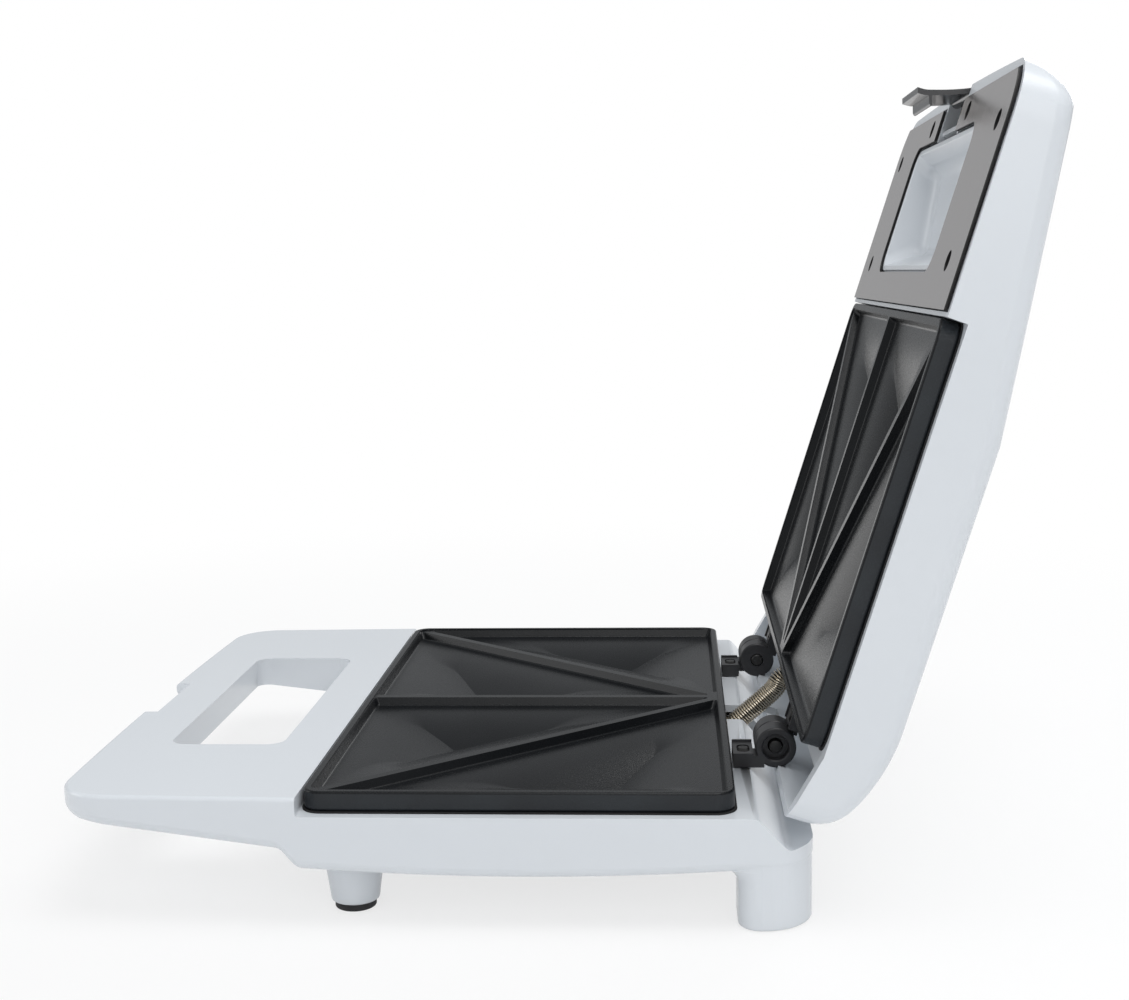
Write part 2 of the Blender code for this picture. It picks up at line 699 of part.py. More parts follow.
def handle_cover(look):
    """The panel that closes the handle from below, with the finger opening cut through."""
    first = HANDLE_END + HANDLE_BOW + WALL + FIT
    last = FRONT_EDGE - FIT
    stations = [first] + [y for y in handle_stations() if first + WALL < y < last - FIT] + [last]
    body = panel("handle_cover", stations, WALL + FIT, COVER_THICK, look)
    sleeve = upright("sleeve room", grip_outline(WALL + FIT), 0, height(-CUT_OVERRUN))
    side = NOTCH_HALF + WALL + FIT
    notch = box("notch room", (-side, HANDLE_END - CUT_OVERRUN, 0),
                (side, HANDLE_END + NOTCH_DEPTH + 2 * WALL + FIT, height(-CUT_OVERRUN)))
    holes = [screw_hole(x, y, 0, height(-CUT_OVERRUN)) for x, y in handle_screw_places()]
    return finish(cut(body, sleeve, notch, *holes))


def foot_pad(side, name, look):
    """A rubber pad under a front foot cone."""
    x, y = foot_place(side)
    return finish(turned(name, [(FOOT_PAD_RADIUS, 0), (FOOT_PAD_RADIUS, FOOT_PAD_HEIGHT)], (x, y, 0),
                         (0, 0, 1), look))


def screw(name, place, axis, look, head=SCREW_HEAD_RADIUS, head_height=SCREW_HEAD_HEIGHT,
          shank=SCREW_SHANK_RADIUS, length=SCREW_LENGTH, parent=None):
    """A screw whose head's seat is at the place; the axis points from seat to tip."""
    profile = [(head * SCREW_CROWN_SHARE, -head_height), (head, -head_height / 2), (head, 0), (shank, 0),
               (shank, length)]
    return finish(turned(name, profile, place, axis, look, SCREW_STEPS), parent)


def seat(made, parent):
    """Turns a piece from the plate's own frame to the base, or to the lid, where it hangs upside down."""
    if parent:
        made.matrix_world = Matrix.Translation((0, -HINGE_Y, RIM_RISE)) @ Matrix.Rotation(math.pi, 4, "Y")
    else:
        made.matrix_world = Matrix.Translation((0, 0, MATING_HEIGHT))
    settle(made)
    made.parent = parent
    return made


def settle(made):
    """Moves an object's own turn and place into its points."""
    made.data.transform(made.matrix_basis)
    made.matrix_basis = Matrix.Identity(4)


def pockets():
    """The four triangles of the plate, each with its insets from rim and ribs: (corners, insets)."""
    half = PLATE_WIDTH / 2
    shapes = []
    for side in (-1, 1):
        apex = (0, REAR_EDGE)
        front_middle = (0, FRONT_EDGE)
        front_corner = (side * half, FRONT_EDGE)
        rear_corner = (side * half, REAR_EDGE)
        shapes.append(((apex, front_middle, front_corner), (RIB_HALF_WIDTH, RIM_WIDTH, RIB_HALF_WIDTH)))
        shapes.append(((apex, front_corner, rear_corner), (RIB_HALF_WIDTH, RIM_WIDTH, RIM_WIDTH)))
    return shapes


def inset_triangle(corners, insets):
    """The triangle whose edges lie the given distances inside the first one's."""
    centre = Vector((sum(c[0] for c in corners), sum(c[1] for c in corners))) / 3
    lines = []
    for k in range(3):
        a = Vector(corners[k])
        b = Vector(corners[(k + 1) % 3])
        normal = Vector((-(b - a).y, (b - a).x)).normalized()
        if normal.dot(centre - a) < 0:
            normal = -normal
        lines.append((normal, normal.dot(a) + insets[k]))
    return [crossing(lines[k - 1], lines[k]) for k in range(3)]


def crossing(first, second):
    """Where two lines, each a normal and an offset, meet."""
    (n, a), (m, b) = first, second
    spread = n.x * m.y - n.y * m.x
    return Vector(((a * m.y - b * n.y) / spread, (b * n.x - a * m.x) / spread))


def inradius(corners):
    """Radius of the circle that fits inside a triangle."""
    sides = [(Vector(corners[k]) - Vector(corners[(k + 1) % 3])).length for k in range(3)]
    a, b = Vector(corners[1]) - Vector(corners[0]), Vector(corners[2]) - Vector(corners[0])
    return abs(a.x * b.y - a.y * b.x) / sum(sides)


def swung(start, end, share):
    """A spoke part of the way round from one spoke of a circle to another."""
    return start.normalized().slerp(end.normalized(), share) * start.length


def rounded_triangle(corners, radius, steps=3):
    """A triangle with its corners rounded off."""
    points = []
    for k in range(3):
        corner = Vector(corners[k])
        before = (Vector(corners[k - 1]) - corner).normalized()
        after = (Vector(corners[(k + 1) % 3]) - corner).normalized()
        half = before.angle(after) / 2
        centre = corner + (before + after).normalized() * radius / math.sin(half)
        start = corner + before * radius / math.tan(half) - centre
        end = corner + after * radius / math.tan(half) - centre
        for j in range(steps + 1):
            points.append(tuple(centre + swung(start, end, j / steps)))
    return points


def pocket_rings(corners, insets, grow):
    """Rings down one dished pocket, or with grow down the shell round it, from rim to deepest point."""
    mouth = inset_triangle(corners, insets)
    reach = inradius(mouth)
    fall = POCKET_DEPTH - POCKET_WALL_DEPTH
    levels = [(0, -CUT_OVERRUN), (POCKET_WALL_DRAFT, POCKET_WALL_DEPTH),
              (reach * POCKET_MID_INSET_SHARE, POCKET_WALL_DEPTH + fall * POCKET_MID_DEPTH_SHARE),
              (reach * POCKET_TIP_SHARE, POCKET_DEPTH)]
    if grow:
        levels[0] = (0, RIM_SKIN)
    rings = []
    for inset, drop in levels:
        shape = inset_triangle(mouth, (inset - grow,) * 3)
        radius = min(POCKET_CORNER, inradius(shape) / 2) + (grow if drop < POCKET_DEPTH else 0)
        depth = drop + (grow if drop > RIM_SKIN else 0)
        rings.append([(x, y, -depth) for x, y in rounded_triangle(shape, radius)])
    return rings


def boss_places():
    """Plan positions of the plate's screw bosses, under its ribs."""
    return [(u * PLATE_WIDTH / 2, FRONT_EDGE * v) for u, v in BOSS_PLACE_SHARES]


def thermostat_place():
    """Plan position of the thermostat's pad under the plate."""
    return PAD_PLACE_SHARES[0] * PLATE_WIDTH / 2, FRONT_EDGE * PAD_PLACE_SHARES[1]


def plate_outline(inset):
    """Plan of the plate at an inset from its rim."""
    half = PLATE_WIDTH / 2 - inset
    return rounded_rectangle(-half, half, FRONT_EDGE + inset, REAR_EDGE - inset,
                             max(PLATE_CORNER - inset, WALL))


def cooking_plate(name, look, parent=None):
    """One cast plate: rim and ribs, four dished pockets, a skirt, screw bosses and a thermostat pad."""
    levels = [(RIM_CHAMFER, 0), (0, -RIM_CHAMFER), (0, -PLATE_RIM_HEIGHT + PLATE_LEDGE_INSET),
              (PLATE_LEDGE_INSET, -PLATE_RIM_HEIGHT + FIT), (PLATE_LEDGE_INSET, -PLATE_RIM_HEIGHT - FIT),
              (PLATE_SKIRT_INSET, -PLATE_RIM_HEIGHT - FIT), (PLATE_SKIRT_INSET, -PLATE_SKIRT_DROP)]
    body = loft(name, [[(x, y, z) for x, y in plate_outline(inset)] for inset, z in levels], look)
    under = upright("under hollow", plate_outline(PLATE_SKIRT_INSET + PLATE_WALL),
                    -PLATE_SKIRT_DROP - CUT_OVERRUN,
                    -PLATE_WALL - RIM_SKIN)
    cut(body, under)
    shells = [loft("pocket shell", pocket_rings(corners, insets, PLATE_WALL))
              for corners, insets in pockets()]
    limits = upright("shell limits", plate_outline(PLATE_SKIRT_INSET + FIT), -POCKET_DEPTH - 2 * PLATE_WALL,
                     -RIM_SKIN - PLATE_WALL / 2)
    shell = combine(join(*shells), [limits], "INTERSECT")
    bosses = [turned("boss", [(BOSS_RADIUS, -BOSS_DROP), (BOSS_RADIUS, -PLATE_WALL)], (x, y, 0), (0, 0, 1),
                     steps=SCREW_STEPS) for x, y in boss_places()]
    if not parent:
        x, y = thermostat_place()
        bosses.append(turned("pad", [(PAD_RADIUS, -PAD_DROP), (PAD_RADIUS, -PLATE_WALL)], (x, y, 0),
                             (0, 0, 1)))
    join(body, shell, *bosses)
    holes = [turned("boss hole", [(BOSS_HOLE_RADIUS, -BOSS_DROP - CUT_OVERRUN),
                                  (BOSS_HOLE_RADIUS, -BOSS_DROP + BOSS_HOLE_DEPTH)],
                    (x, y, 0), (0, 0, 1), steps=SCREW_STEPS) for x, y in boss_places()]
    hollows = [loft("pocket", pocket_rings(corners, insets, 0)) for corners, insets in pockets()]
    cut(body, *hollows, *holes)
    return finish(seat(body, parent))


def tube(name, points, radius, look, resolution=2, parent=None, to_lid=False):
    """A round bar along points, as a curve with closed ends."""
    curve = bpy.data.curves.new(name, "CURVE")
    curve.dimensions = "3D"
    curve.bevel_depth = radius
    curve.bevel_resolution = resolution
    curve.use_fill_caps = True
    line = curve.splines.new("POLY")
    line.points.add(len(points) - 1)
    for slot, point in zip(line.points, points):
        slot.co = (*point, 1.0)
    curve.materials.append(look)
    made = bpy.data.objects.new(name, curve)
    bpy.context.collection.objects.link(made)
    if to_lid:
        made.matrix_world = Matrix.Translation((0, -HINGE_Y, RIM_RISE)) @ Matrix.Rotation(math.pi, 4, "Y")
        curve.transform(made.matrix_basis)
        made.matrix_basis = Matrix.Identity(4)
    if parent:
        made.parent = parent
    return made


def bent(corners, radius, steps=5):
    """A path through corners, rounded at each inner one."""
    path = [Vector(corners[0])]
    for k in range(1, len(corners) - 1):
        corner = Vector(corners[k])
        before = (Vector(corners[k - 1]) - corner).normalized()
        after = (Vector(corners[k + 1]) - corner).normalized()
        half = before.angle(after) / 2
        centre = corner + (before + after).normalized() * radius / math.sin(half)
        start = corner + before * radius / math.tan(half) - centre
        end = corner + after * radius / math.tan(half) - centre
        path += [centre + swung(start, end, j / steps) for j in range(steps + 1)]
    path.append(Vector(corners[-1]))
    return path


def element(name, look, parent=None):
    """The tubular heater: a loop under the plate with both ends at the rear."""
    side = PLATE_WIDTH / 2 - ELEMENT_FROM_SIDE
    end = ELEMENT_END_SHARE * PLATE_WIDTH / 2
    front = ELEMENT_FRONT_SHARE * FRONT_EDGE
    rear = ELEMENT_REAR_SHARE * FRONT_EDGE
    lift = MATING_HEIGHT if not parent else 0
    z = lift - ELEMENT_DROP
    corners = [(-end, rear, z), (-side, rear, z), (-side, front, z), (side, front, z), (side, rear, z),
               (end, rear, z)]
    return tube(name, bent(corners, ELEMENT_BEND), ELEMENT_RADIUS, look, 2, parent, bool(parent))


def heat_shield(name, look, parent=None):
    """The thin steel tray behind the heater, held by the plate's boss screws."""
    half = PLATE_WIDTH / 2 - PLATE_SKIRT_INSET - SHIELD_MARGIN
    outer = rounded_rectangle(-half, half, FRONT_EDGE + PLATE_SKIRT_INSET + SHIELD_MARGIN,
                              REAR_EDGE - PLATE_SKIRT_INSET - SHIELD_MARGIN, PLATE_CORNER)
    floor = -BOSS_DROP - FIT - SHIELD_THICK
    body = upright(name, outer, floor, floor + SHIELD_RIM, look)
    inner_half = half - SHIELD_THICK
    inner = rounded_rectangle(-inner_half, inner_half,
                              FRONT_EDGE + PLATE_SKIRT_INSET + SHIELD_MARGIN + SHIELD_THICK,
                              REAR_EDGE - PLATE_SKIRT_INSET - SHIELD_MARGIN - SHIELD_THICK, PLATE_CORNER)
    hollow = upright("shield hollow", inner, floor + SHIELD_THICK, floor + SHIELD_RIM + CUT_OVERRUN)
    holes = [screw_hole(x, y, floor - CUT_OVERRUN, floor + CUT_OVERRUN) for x, y in boss_places()]
    cut(body, hollow, *holes)
    return finish(seat(body, parent))


def element_clip(name, side, look, parent=None):
    """A bent strip that presses the heater's side run against the plate, standing on the shield."""
    x = side * (PLATE_WIDTH / 2 - ELEMENT_FROM_SIDE)
    y = FRONT_EDGE * (ELEMENT_FRONT_SHARE + ELEMENT_REAR_SHARE) / 2
    half = CLIP_WIDTH / 2
    body = box(name, (x - CLIP_LENGTH / 2, y - half, -BOSS_DROP),
               (x + CLIP_LENGTH / 2, y + half, CLIP_THICK - BOSS_DROP), look)
    walls = []
    for edge in (-1, 1):
        near = x + edge * (ELEMENT_RADIUS + FIT)
        far = near + edge * CLIP_THICK
        walls.append(box("clip wall", (min(near, far), y - half, -BOSS_DROP + CLIP_THICK / 2),
                         (max(near, far), y + half, -ELEMENT_DROP)))
    return finish(seat(join(body, *walls), parent))


def thermostat(look):
    """The disc thermostat under its pad on the lower plate."""
    x, y = thermostat_place()
    top = height(PAD_DROP + FIT)
    step = THERMOSTAT_RADIUS * THERMOSTAT_BODY_SHARE
    profile = [(step, top - THERMOSTAT_HEIGHT), (step, top - THERMOSTAT_FLANGE),
               (THERMOSTAT_RADIUS, top - THERMOSTAT_FLANGE),
               (THERMOSTAT_RADIUS, top)]
    return finish(turned("thermostat", profile, (x, y, 0), (0, 0, 1), look))


def thermal_fuse(look):
    """The cut-out fuse in its sleeve, lying on the lower shield."""
    x, y = boss_places()[1]
    z = height(BOSS_DROP) + FUSE_RADIUS
    return finish(turned("thermal_fuse", [(FUSE_RADIUS * FUSE_TIP_SHARE, 0),
                                          (FUSE_RADIUS, FUSE_LENGTH * FUSE_TIP_SHARE / 2),
                                          (FUSE_RADIUS, FUSE_LENGTH * (1 - FUSE_TIP_SHARE / 2)),
                                          (FUSE_RADIUS * FUSE_TIP_SHARE, FUSE_LENGTH)],
                         (x + BOSS_RADIUS + FUSE_RADIUS, y, z), (1, 0, 0), look, SCREW_STEPS))


def terminal_block(look):
    """The block where the cord's cores meet the internal leads, on the housing's rear floor."""
    low = height(TUB_END_DROP) + WALL + FIT
    x = -HINGE_X / 2
    body = box("terminal_block", (x - TERMINAL_LENGTH / 2, DECK_FLAT - TERMINAL_DEPTH, low),
               (x + TERMINAL_LENGTH / 2, DECK_FLAT - FIT, low + TERMINAL_HEIGHT), look)
    wells = []
    for k in (-1, 0, 1):
        wells.append(turned("well", [(SCREW_HEAD_RADIUS, low + TERMINAL_HEIGHT / 2),
                                     (SCREW_HEAD_RADIUS, low + 2 * TERMINAL_HEIGHT)],
                            (x + k * TERMINAL_LENGTH / 3, DECK_FLAT - TERMINAL_DEPTH / 2, 0), (0, 0, 1),
                            steps=SCREW_STEPS))
    return finish(cut(body, *wells))


def cord_gland(look):
    """The oval bush in the rear wall through which the supply cord leaves."""
    centre = (height(VALLEY_REAR_DROP) + height(TUB_END_DROP)) / 2
    neck_width = GLAND_HALF_WIDTH - GLAND_FLANGE
    neck_height = GLAND_HALF_HEIGHT - GLAND_FLANGE
    inside = BASE_REAR - WALL - FIT
    outside = BASE_REAR + FIT
    body = gland_hole("cord_gland", neck_width, neck_height, inside - GLAND_FLANGE,
                      outside + GLAND_FLANGE, centre, look)
    flange = gland_hole("flange", GLAND_HALF_WIDTH, GLAND_HALF_HEIGHT, outside,
                        outside + 2 * GLAND_FLANGE, centre)
    bore = gland_hole("bore", GLAND_BORE_HALF_WIDTH, GLAND_BORE_RADIUS / 2, inside - CUT_OVERRUN,
                      outside + CUT_OVERRUN, centre)
    return finish(cut(join(body, flange), bore))


def hinge_bracket(name, side, upper, look, parent=None):
    """One half of a hinge about its own axis: an arm on the deck and a knuckle, mirrored for the lid."""
    up = 1 if upper else -1
    rim = TUB_RIM_DROP + RIM_RISE - FIT
    low, high = sorted((up * rim, up * (rim - ARM_THICK)))
    inner = HINGE_X - KNUCKLE_GAP / 2
    outer = HINGE_X + KNUCKLE_GAP / 2
    knuckle = (inner - KNUCKLE_WIDTH, inner) if upper else (outer, outer + KNUCKLE_WIDTH)
    start = ARM_START - HINGE_Y
    stop = -KNUCKLE_RADIUS - ARM_STOP
    arm = box(name, (inner - KNUCKLE_WIDTH, start, low), (outer + KNUCKLE_WIDTH, stop, high), look)
    link = box("link", (knuckle[0], stop - ARM_STOP, low), (knuckle[1], 0, high))
    barrel = turned("barrel", [(KNUCKLE_RADIUS, knuckle[0]), (KNUCKLE_RADIUS, knuckle[1])], (0, 0, 0),
                    (1, 0, 0))
    join(arm, link, barrel)
    bore = turned("bore", [(PIN_RADIUS + PIN_PLAY, knuckle[0] - CUT_OVERRUN),
                           (PIN_RADIUS + PIN_PLAY, knuckle[1] + CUT_OVERRUN)],
                  (0, 0, 0), (1, 0, 0), steps=SCREW_STEPS)
    cutters = [bore]
    if not upper:
        recess = KNUCKLE_RADIUS * PIN_RECESS_SHARE
        cutters.append(turned("recess", [(recess, knuckle[1] - PIN_RECESS),
                                         (recess, knuckle[1] + CUT_OVERRUN)],
                              (0, 0, 0), (1, 0, 0)))
    seat_face = up * (rim - ARM_THICK)
    well = [(ARM_SCREW_HEAD + FIT, seat_face + up * ARM_SCREW_SINK),
            (ARM_SCREW_HEAD + FIT, seat_face - up * CUT_OVERRUN)]
    hole = [(ARM_SCREW_RADIUS + FIT, low - CUT_OVERRUN), (ARM_SCREW_RADIUS + FIT, high + CUT_OVERRUN)]
    if upper:
        well.reverse()
    place = (HINGE_X, ARM_SCREW_Y - HINGE_Y, 0)
    cutters.append(turned("well", well, place, (0, 0, 1)))
    cutters.append(turned("hole", hole, place, (0, 0, 1), steps=SCREW_STEPS))
    cut(arm, *cutters)
    mirror_x(arm, side)
    if not upper:
        arm.data.transform(Matrix.Translation((0, HINGE_Y, HINGE_Z)))
    return finish(arm, parent)


def mirror_x(made, side):
    """Mirrors a mesh to the other side, keeping its faces outwards."""
    if side < 0:
        made.data.transform(Matrix.Diagonal((-1, 1, 1, 1)))
        made.data.flip_normals()


def hinge_pin(name, side, look):
    """The steel pin through both knuckles of one hinge."""
    outer = HINGE_X + KNUCKLE_GAP / 2 + KNUCKLE_WIDTH - PIN_RECESS + PIN_END / 2
    inner = HINGE_X - KNUCKLE_GAP / 2 - KNUCKLE_WIDTH - PIN_END / 2
    profile = [(PIN_RADIUS - PIN_CHAMFER, inner), (PIN_RADIUS, inner + PIN_CHAMFER),
               (PIN_RADIUS, outer - PIN_CHAMFER),
               (PIN_RADIUS - PIN_CHAMFER, outer)]
    made = turned(name, profile, (0, HINGE_Y, HINGE_Z), (1, 0, 0), look, SCREW_STEPS)
    mirror_x(made, side)
    return finish(made)


def hinge_screw(name, side, upper, look, parent=None):
    """The screw that holds a hinge bracket to its deck."""
    rim = TUB_RIM_DROP + RIM_RISE - FIT
    seat_at = rim - ARM_THICK + ARM_SCREW_SINK - FIT
    if upper:
        return screw(name, (side * HINGE_X, ARM_SCREW_Y - HINGE_Y, seat_at), (0, 0, 1), look,
                     ARM_SCREW_HEAD, ARM_SCREW_SINK, ARM_SCREW_RADIUS, SCREW_LENGTH, parent)
    return screw(name, (side * HINGE_X, ARM_SCREW_Y, HINGE_Z - seat_at), (0, 0, -1), look,
                 ARM_SCREW_HEAD, ARM_SCREW_SINK, ARM_SCREW_RADIUS, SCREW_LENGTH)


def lid_half_width(s):
    """Half width of the lid's outline at a distance in front of the hinge."""
    corner_s = LID_REAR_CORNER - LID_REAR
    if s < corner_s:
        return BASE_HALF - LID_REAR_CORNER + math.sqrt(max(LID_REAR_CORNER ** 2 - (corner_s - s) ** 2, 0))
    return base_half_width(HINGE_Y - s - LID_SHORT)


def lid_rise(s):
    """Height of the lid's outer face above the hinge axis, lid closed."""
    shoulder_end = LID_SHOULDER_RUN - LID_REAR
    if s < shoulder_end:
        share = (s + LID_REAR) / LID_SHOULDER_RUN
        return LID_SHOULDER_RISE + (LID_HEIGHT - LID_SHOULDER_RISE) * math.sqrt(1 - (1 - share) ** 2)
    if s < LID_FLAT_END:
        return LID_HEIGHT
    if s < LID_SLOPE_END:
        share = (s - LID_FLAT_END) / (LID_SLOPE_END - LID_FLAT_END)
        return LID_HEIGHT + (LID_SLOPE_RISE - LID_HEIGHT) * share
    share = (s - LID_SLOPE_END) / (LID_NOSE_END - LID_SLOPE_END)
    return LID_SLOPE_RISE + (LID_NOSE_RISE - LID_SLOPE_RISE) * share ** 2


def lid_edge(s):
    """Height of the lid's lower edge above the hinge axis: lower at the rear lip and at the handle."""
    rim = TUB_RIM_DROP + RIM_RISE
    if s < -LID_REAR + WALL:
        return LID_REAR_LIP
    if s < HINGE_Y:
        share = (s + LID_REAR - WALL) / (HINGE_Y + LID_REAR - WALL)
        return LID_REAR_LIP + (rim - LID_REAR_LIP) * share
    return rim if s < LID_STEP else LID_FRONT_EDGE + RIM_RISE


def lid_stations():
    """Stations along the lid, closer together at its corners and its step."""
    steps = 4
    corner_s = LID_REAR_CORNER - LID_REAR
    stations = [corner_s - LID_REAR_CORNER * math.cos(math.pi / 2 * k / steps) for k in range(steps + 1)]
    stations += [-LID_REAR + WALL, HINGE_Y, LID_SHOULDER_RUN - LID_REAR, LID_SHOULDER_RUN / 2 - LID_REAR]
    stations += [LID_STEP / 2, LID_STEP - FIT, LID_STEP, LID_FLAT_END, LID_SLOPE_END]
    stations += [LID_FLAT_END + (LID_SLOPE_END - LID_FLAT_END) * k / steps for k in range(1, steps)]
    front = [HINGE_Y - LID_SHORT - y for y in handle_stations()]
    stations += [s for s in front if s > LID_SLOPE_END - HINGE_Y]
    return sorted(set(stations))


def dome_ring(s, inset, low, high, radius, steps=ROUND_STEPS):
    """A ring of the lid across X: square at its lower edge, rounded above."""
    half = lid_half_width(s) - inset
    radius = min(radius, (high - low) * LID_ROUND_SHARE)
    points = [(-half, -s, low), (half, -s, low)]
    for quarter, centre in ((0, half - radius), (1, radius - half)):
        for k in range(steps + 1):
            angle = math.pi / 2 * (quarter + k / steps)
            points.append((centre + radius * math.cos(angle), -s, high - radius + radius * math.sin(angle)))
    return points


def lid_body(name, look):
    """The outer form of the lid as one solid."""
    return loft(name, [dome_ring(s, 0, lid_edge(s), lid_rise(s), LID_CORNER) for s in lid_stations()], look)


def lid_valley():
    """The room for the hinges behind the plate, between the lid's side walls."""
    rim = TUB_RIM_DROP + RIM_RISE
    outline = [(-HINGE_Y - FIT, -CUT_OVERRUN), (-HINGE_Y - FIT, rim), (DECK_FLAT - HINGE_Y, rim),
               (VALLEY_START - HINGE_Y, VALLEY_DROP + RIM_RISE),
               (LID_REAR - WALL, VALLEY_REAR_DROP + RIM_RISE),
               (LID_REAR - WALL, -CUT_OVERRUN)]
    half = BASE_HALF - 2 * WALL
    return crosswise("lid valley", outline, -half, half)


def lid_hollows():
    """The hollow above the plate and the hollow behind the steel handle plate."""
    rim = TUB_RIM_DROP + RIM_RISE
    radius = LID_CORNER - WALL
    start = DECK_FLAT - FIT
    stations = [start] + [s for s in lid_stations() if start < s < LID_STEP - WALL] + [STEEL_REAR - WALL]
    over_plate = []
    for s in stations:
        share = (s - HINGE_Y + VALLEY_START) / (VALLEY_START - DECK_FLAT)
        floor = max(rim, VALLEY_DROP + share * (rim - VALLEY_DROP))
        over_plate.append(dome_ring(s, WALL, floor + WALL, lid_rise(s) - WALL, radius))
    last = LID_LENGTH - WALL - HANDLE_BOW
    stations = [STEEL_REAR] + [s for s in lid_stations() if STEEL_REAR < s < last - FIT] + [last]
    front = [dome_ring(s, WALL, -CUT_OVERRUN, lid_rise(s) - WALL, radius) for s in stations]
    return loft("plate hollow", over_plate), loft("handle hollow", front)


def steel_screw_places():
    """Lid positions (x, y) of the steel plate's screws."""
    places = []
    for side in (-1, 1):
        for across, along in STEEL_SCREW_SHARES:
            places.append((side * across * HANDLE_HALF, -(STEEL_REAR + along * (LID_LENGTH - STEEL_REAR))))
    return places


def steel_top():
    """Height of the steel plate's inner face above the hinge axis, lid closed."""
    return RIM_RISE + STEEL_RISE + STEEL_THICK


def lid_ribs(look):
    """Screw posts, latch slot walls and the slot's cross rib, trimmed to the lid's outer form."""
    slot = LATCH_HALF + LATCH_SLOT_PLAY
    rear = -(CUP_FRONT + CUP_WALL + 2 * FIT)
    front = -(LATCH_S + LATCH_BARREL / 2)
    low = RIM_RISE + STEEL_RISE
    walls = [box("slot wall", (min(side * slot, side * SLOT_HALF), front, low),
                 (max(side * slot, side * SLOT_HALF), rear, LID_HEIGHT))
             for side in (-1, 1)]
    rib_y = rear - SLOT_RIB_BACK
    rib = box("slot rib", (-slot - FIT, rib_y - SLOT_RIB_THICK, low + SLOT_RIB_DEEP),
              (slot + FIT, rib_y, LID_HEIGHT))
    posts = [turned("post", [(STEEL_SCREW_SHANK + BOSS_WALL, steel_top() + FIT),
                             (STEEL_SCREW_SHANK + BOSS_WALL, LID_HEIGHT)],
                    (x, y, 0), (0, 0, 1), steps=SCREW_STEPS) for x, y in steel_screw_places()]
    group = join(walls[0], walls[1], rib, *posts)
    return combine(group, [lid_body("trim", look)], "INTERSECT")


def lid_shell(look, parent):
    """The lid's outer moulding: roof, walls, plate seat, hinge deck, screw posts and latch slot."""
    body = lid_body("lid_shell", look)
    cut(body, lid_valley(), *lid_hollows())
    join(body, lid_ribs(look))
    rim = TUB_RIM_DROP + RIM_RISE
    opening = upright("plate opening", [(x, y - HINGE_Y) for x, y in plate_outline(PLATE_SEAT)],
                      -CUT_OVERRUN, rim + 2 * WALL)
    window = box("lid window", (CONDUIT_X - CONDUIT_WINDOW_HALF, -LID_WINDOW_FRONT, -CUT_OVERRUN),
                 (CONDUIT_X + CONDUIT_WINDOW_HALF, -LID_WINDOW_REAR, LID_WINDOW_RISE))
    lip_notch = box("lip notch", (CONDUIT_X - CONDUIT_WINDOW_HALF, HINGE_Y - BASE_REAR / 2, -CUT_OVERRUN),
                    (CONDUIT_X + CONDUIT_WINDOW_HALF, LID_REAR + CUT_OVERRUN, LIP_NOTCH_RISE))
    slot = LATCH_HALF + LATCH_SLOT_PLAY
    latch_room = box("latch room", (-slot, -LID_LENGTH - CUT_OVERRUN, -CUT_OVERRUN),
                     (slot, -LATCH_S + LATCH_BARREL + LATCH_THICK,
                      LATCH_RISE + RIM_RISE + LATCH_BARREL + LATCH_SLOT_PLAY))
    pin_hole = turned("latch pin hole", [(LATCH_PIN + FIT, -slot - LATCH_PIN_REACH),
                                         (LATCH_PIN + FIT, slot + LATCH_PIN_REACH)],
                      (0, -LATCH_S, LATCH_RISE + RIM_RISE), (1, 0, 0), steps=SCREW_STEPS)
    outer = HINGE_X + KNUCKLE_GAP + KNUCKLE_WIDTH
    inner = HINGE_X - KNUCKLE_GAP - KNUCKLE_WIDTH
    rooms = [turned("knuckle room", [(KNUCKLE_RADIUS + KNUCKLE_ROOM, min(side * inner, side * outer)),
                                     (KNUCKLE_RADIUS + KNUCKLE_ROOM, max(side * inner, side * outer))],
                    (0, 0, 0), (1, 0, 0)) for side in (-1, 1)]
    cut(body, opening, window, lip_notch, latch_room, pin_hole, *rooms)
    holes = [turned("pilot", [(STEEL_SCREW_SHANK + FIT, 0),
                              (STEEL_SCREW_SHANK + FIT, STEEL_SCREW_LENGTH + WALL)],
                    (x, y, 0), (0, 0, 1), steps=SCREW_STEPS) for x, y in steel_screw_places()]
    holes += [turned("hinge screw hole", [(ARM_SCREW_RADIUS + FIT, 0),
                                          (ARM_SCREW_RADIUS + FIT, rim + 2 * WALL)],
                     (side * HINGE_X, ARM_SCREW_Y - HINGE_Y, 0), (0, 0, 1),
                     steps=SCREW_STEPS) for side in (-1, 1)]
    holes += [turned("lens hole", [(LENS_RADIUS - LENS_LEDGE + FIT, -2 * WALL),
                                   (LENS_RADIUS - LENS_LEDGE + FIT, CUT_OVERRUN)],
                     *lens_seat(side)) for side in (-1, 1)]
    return finish(cut(body, *holes), parent)


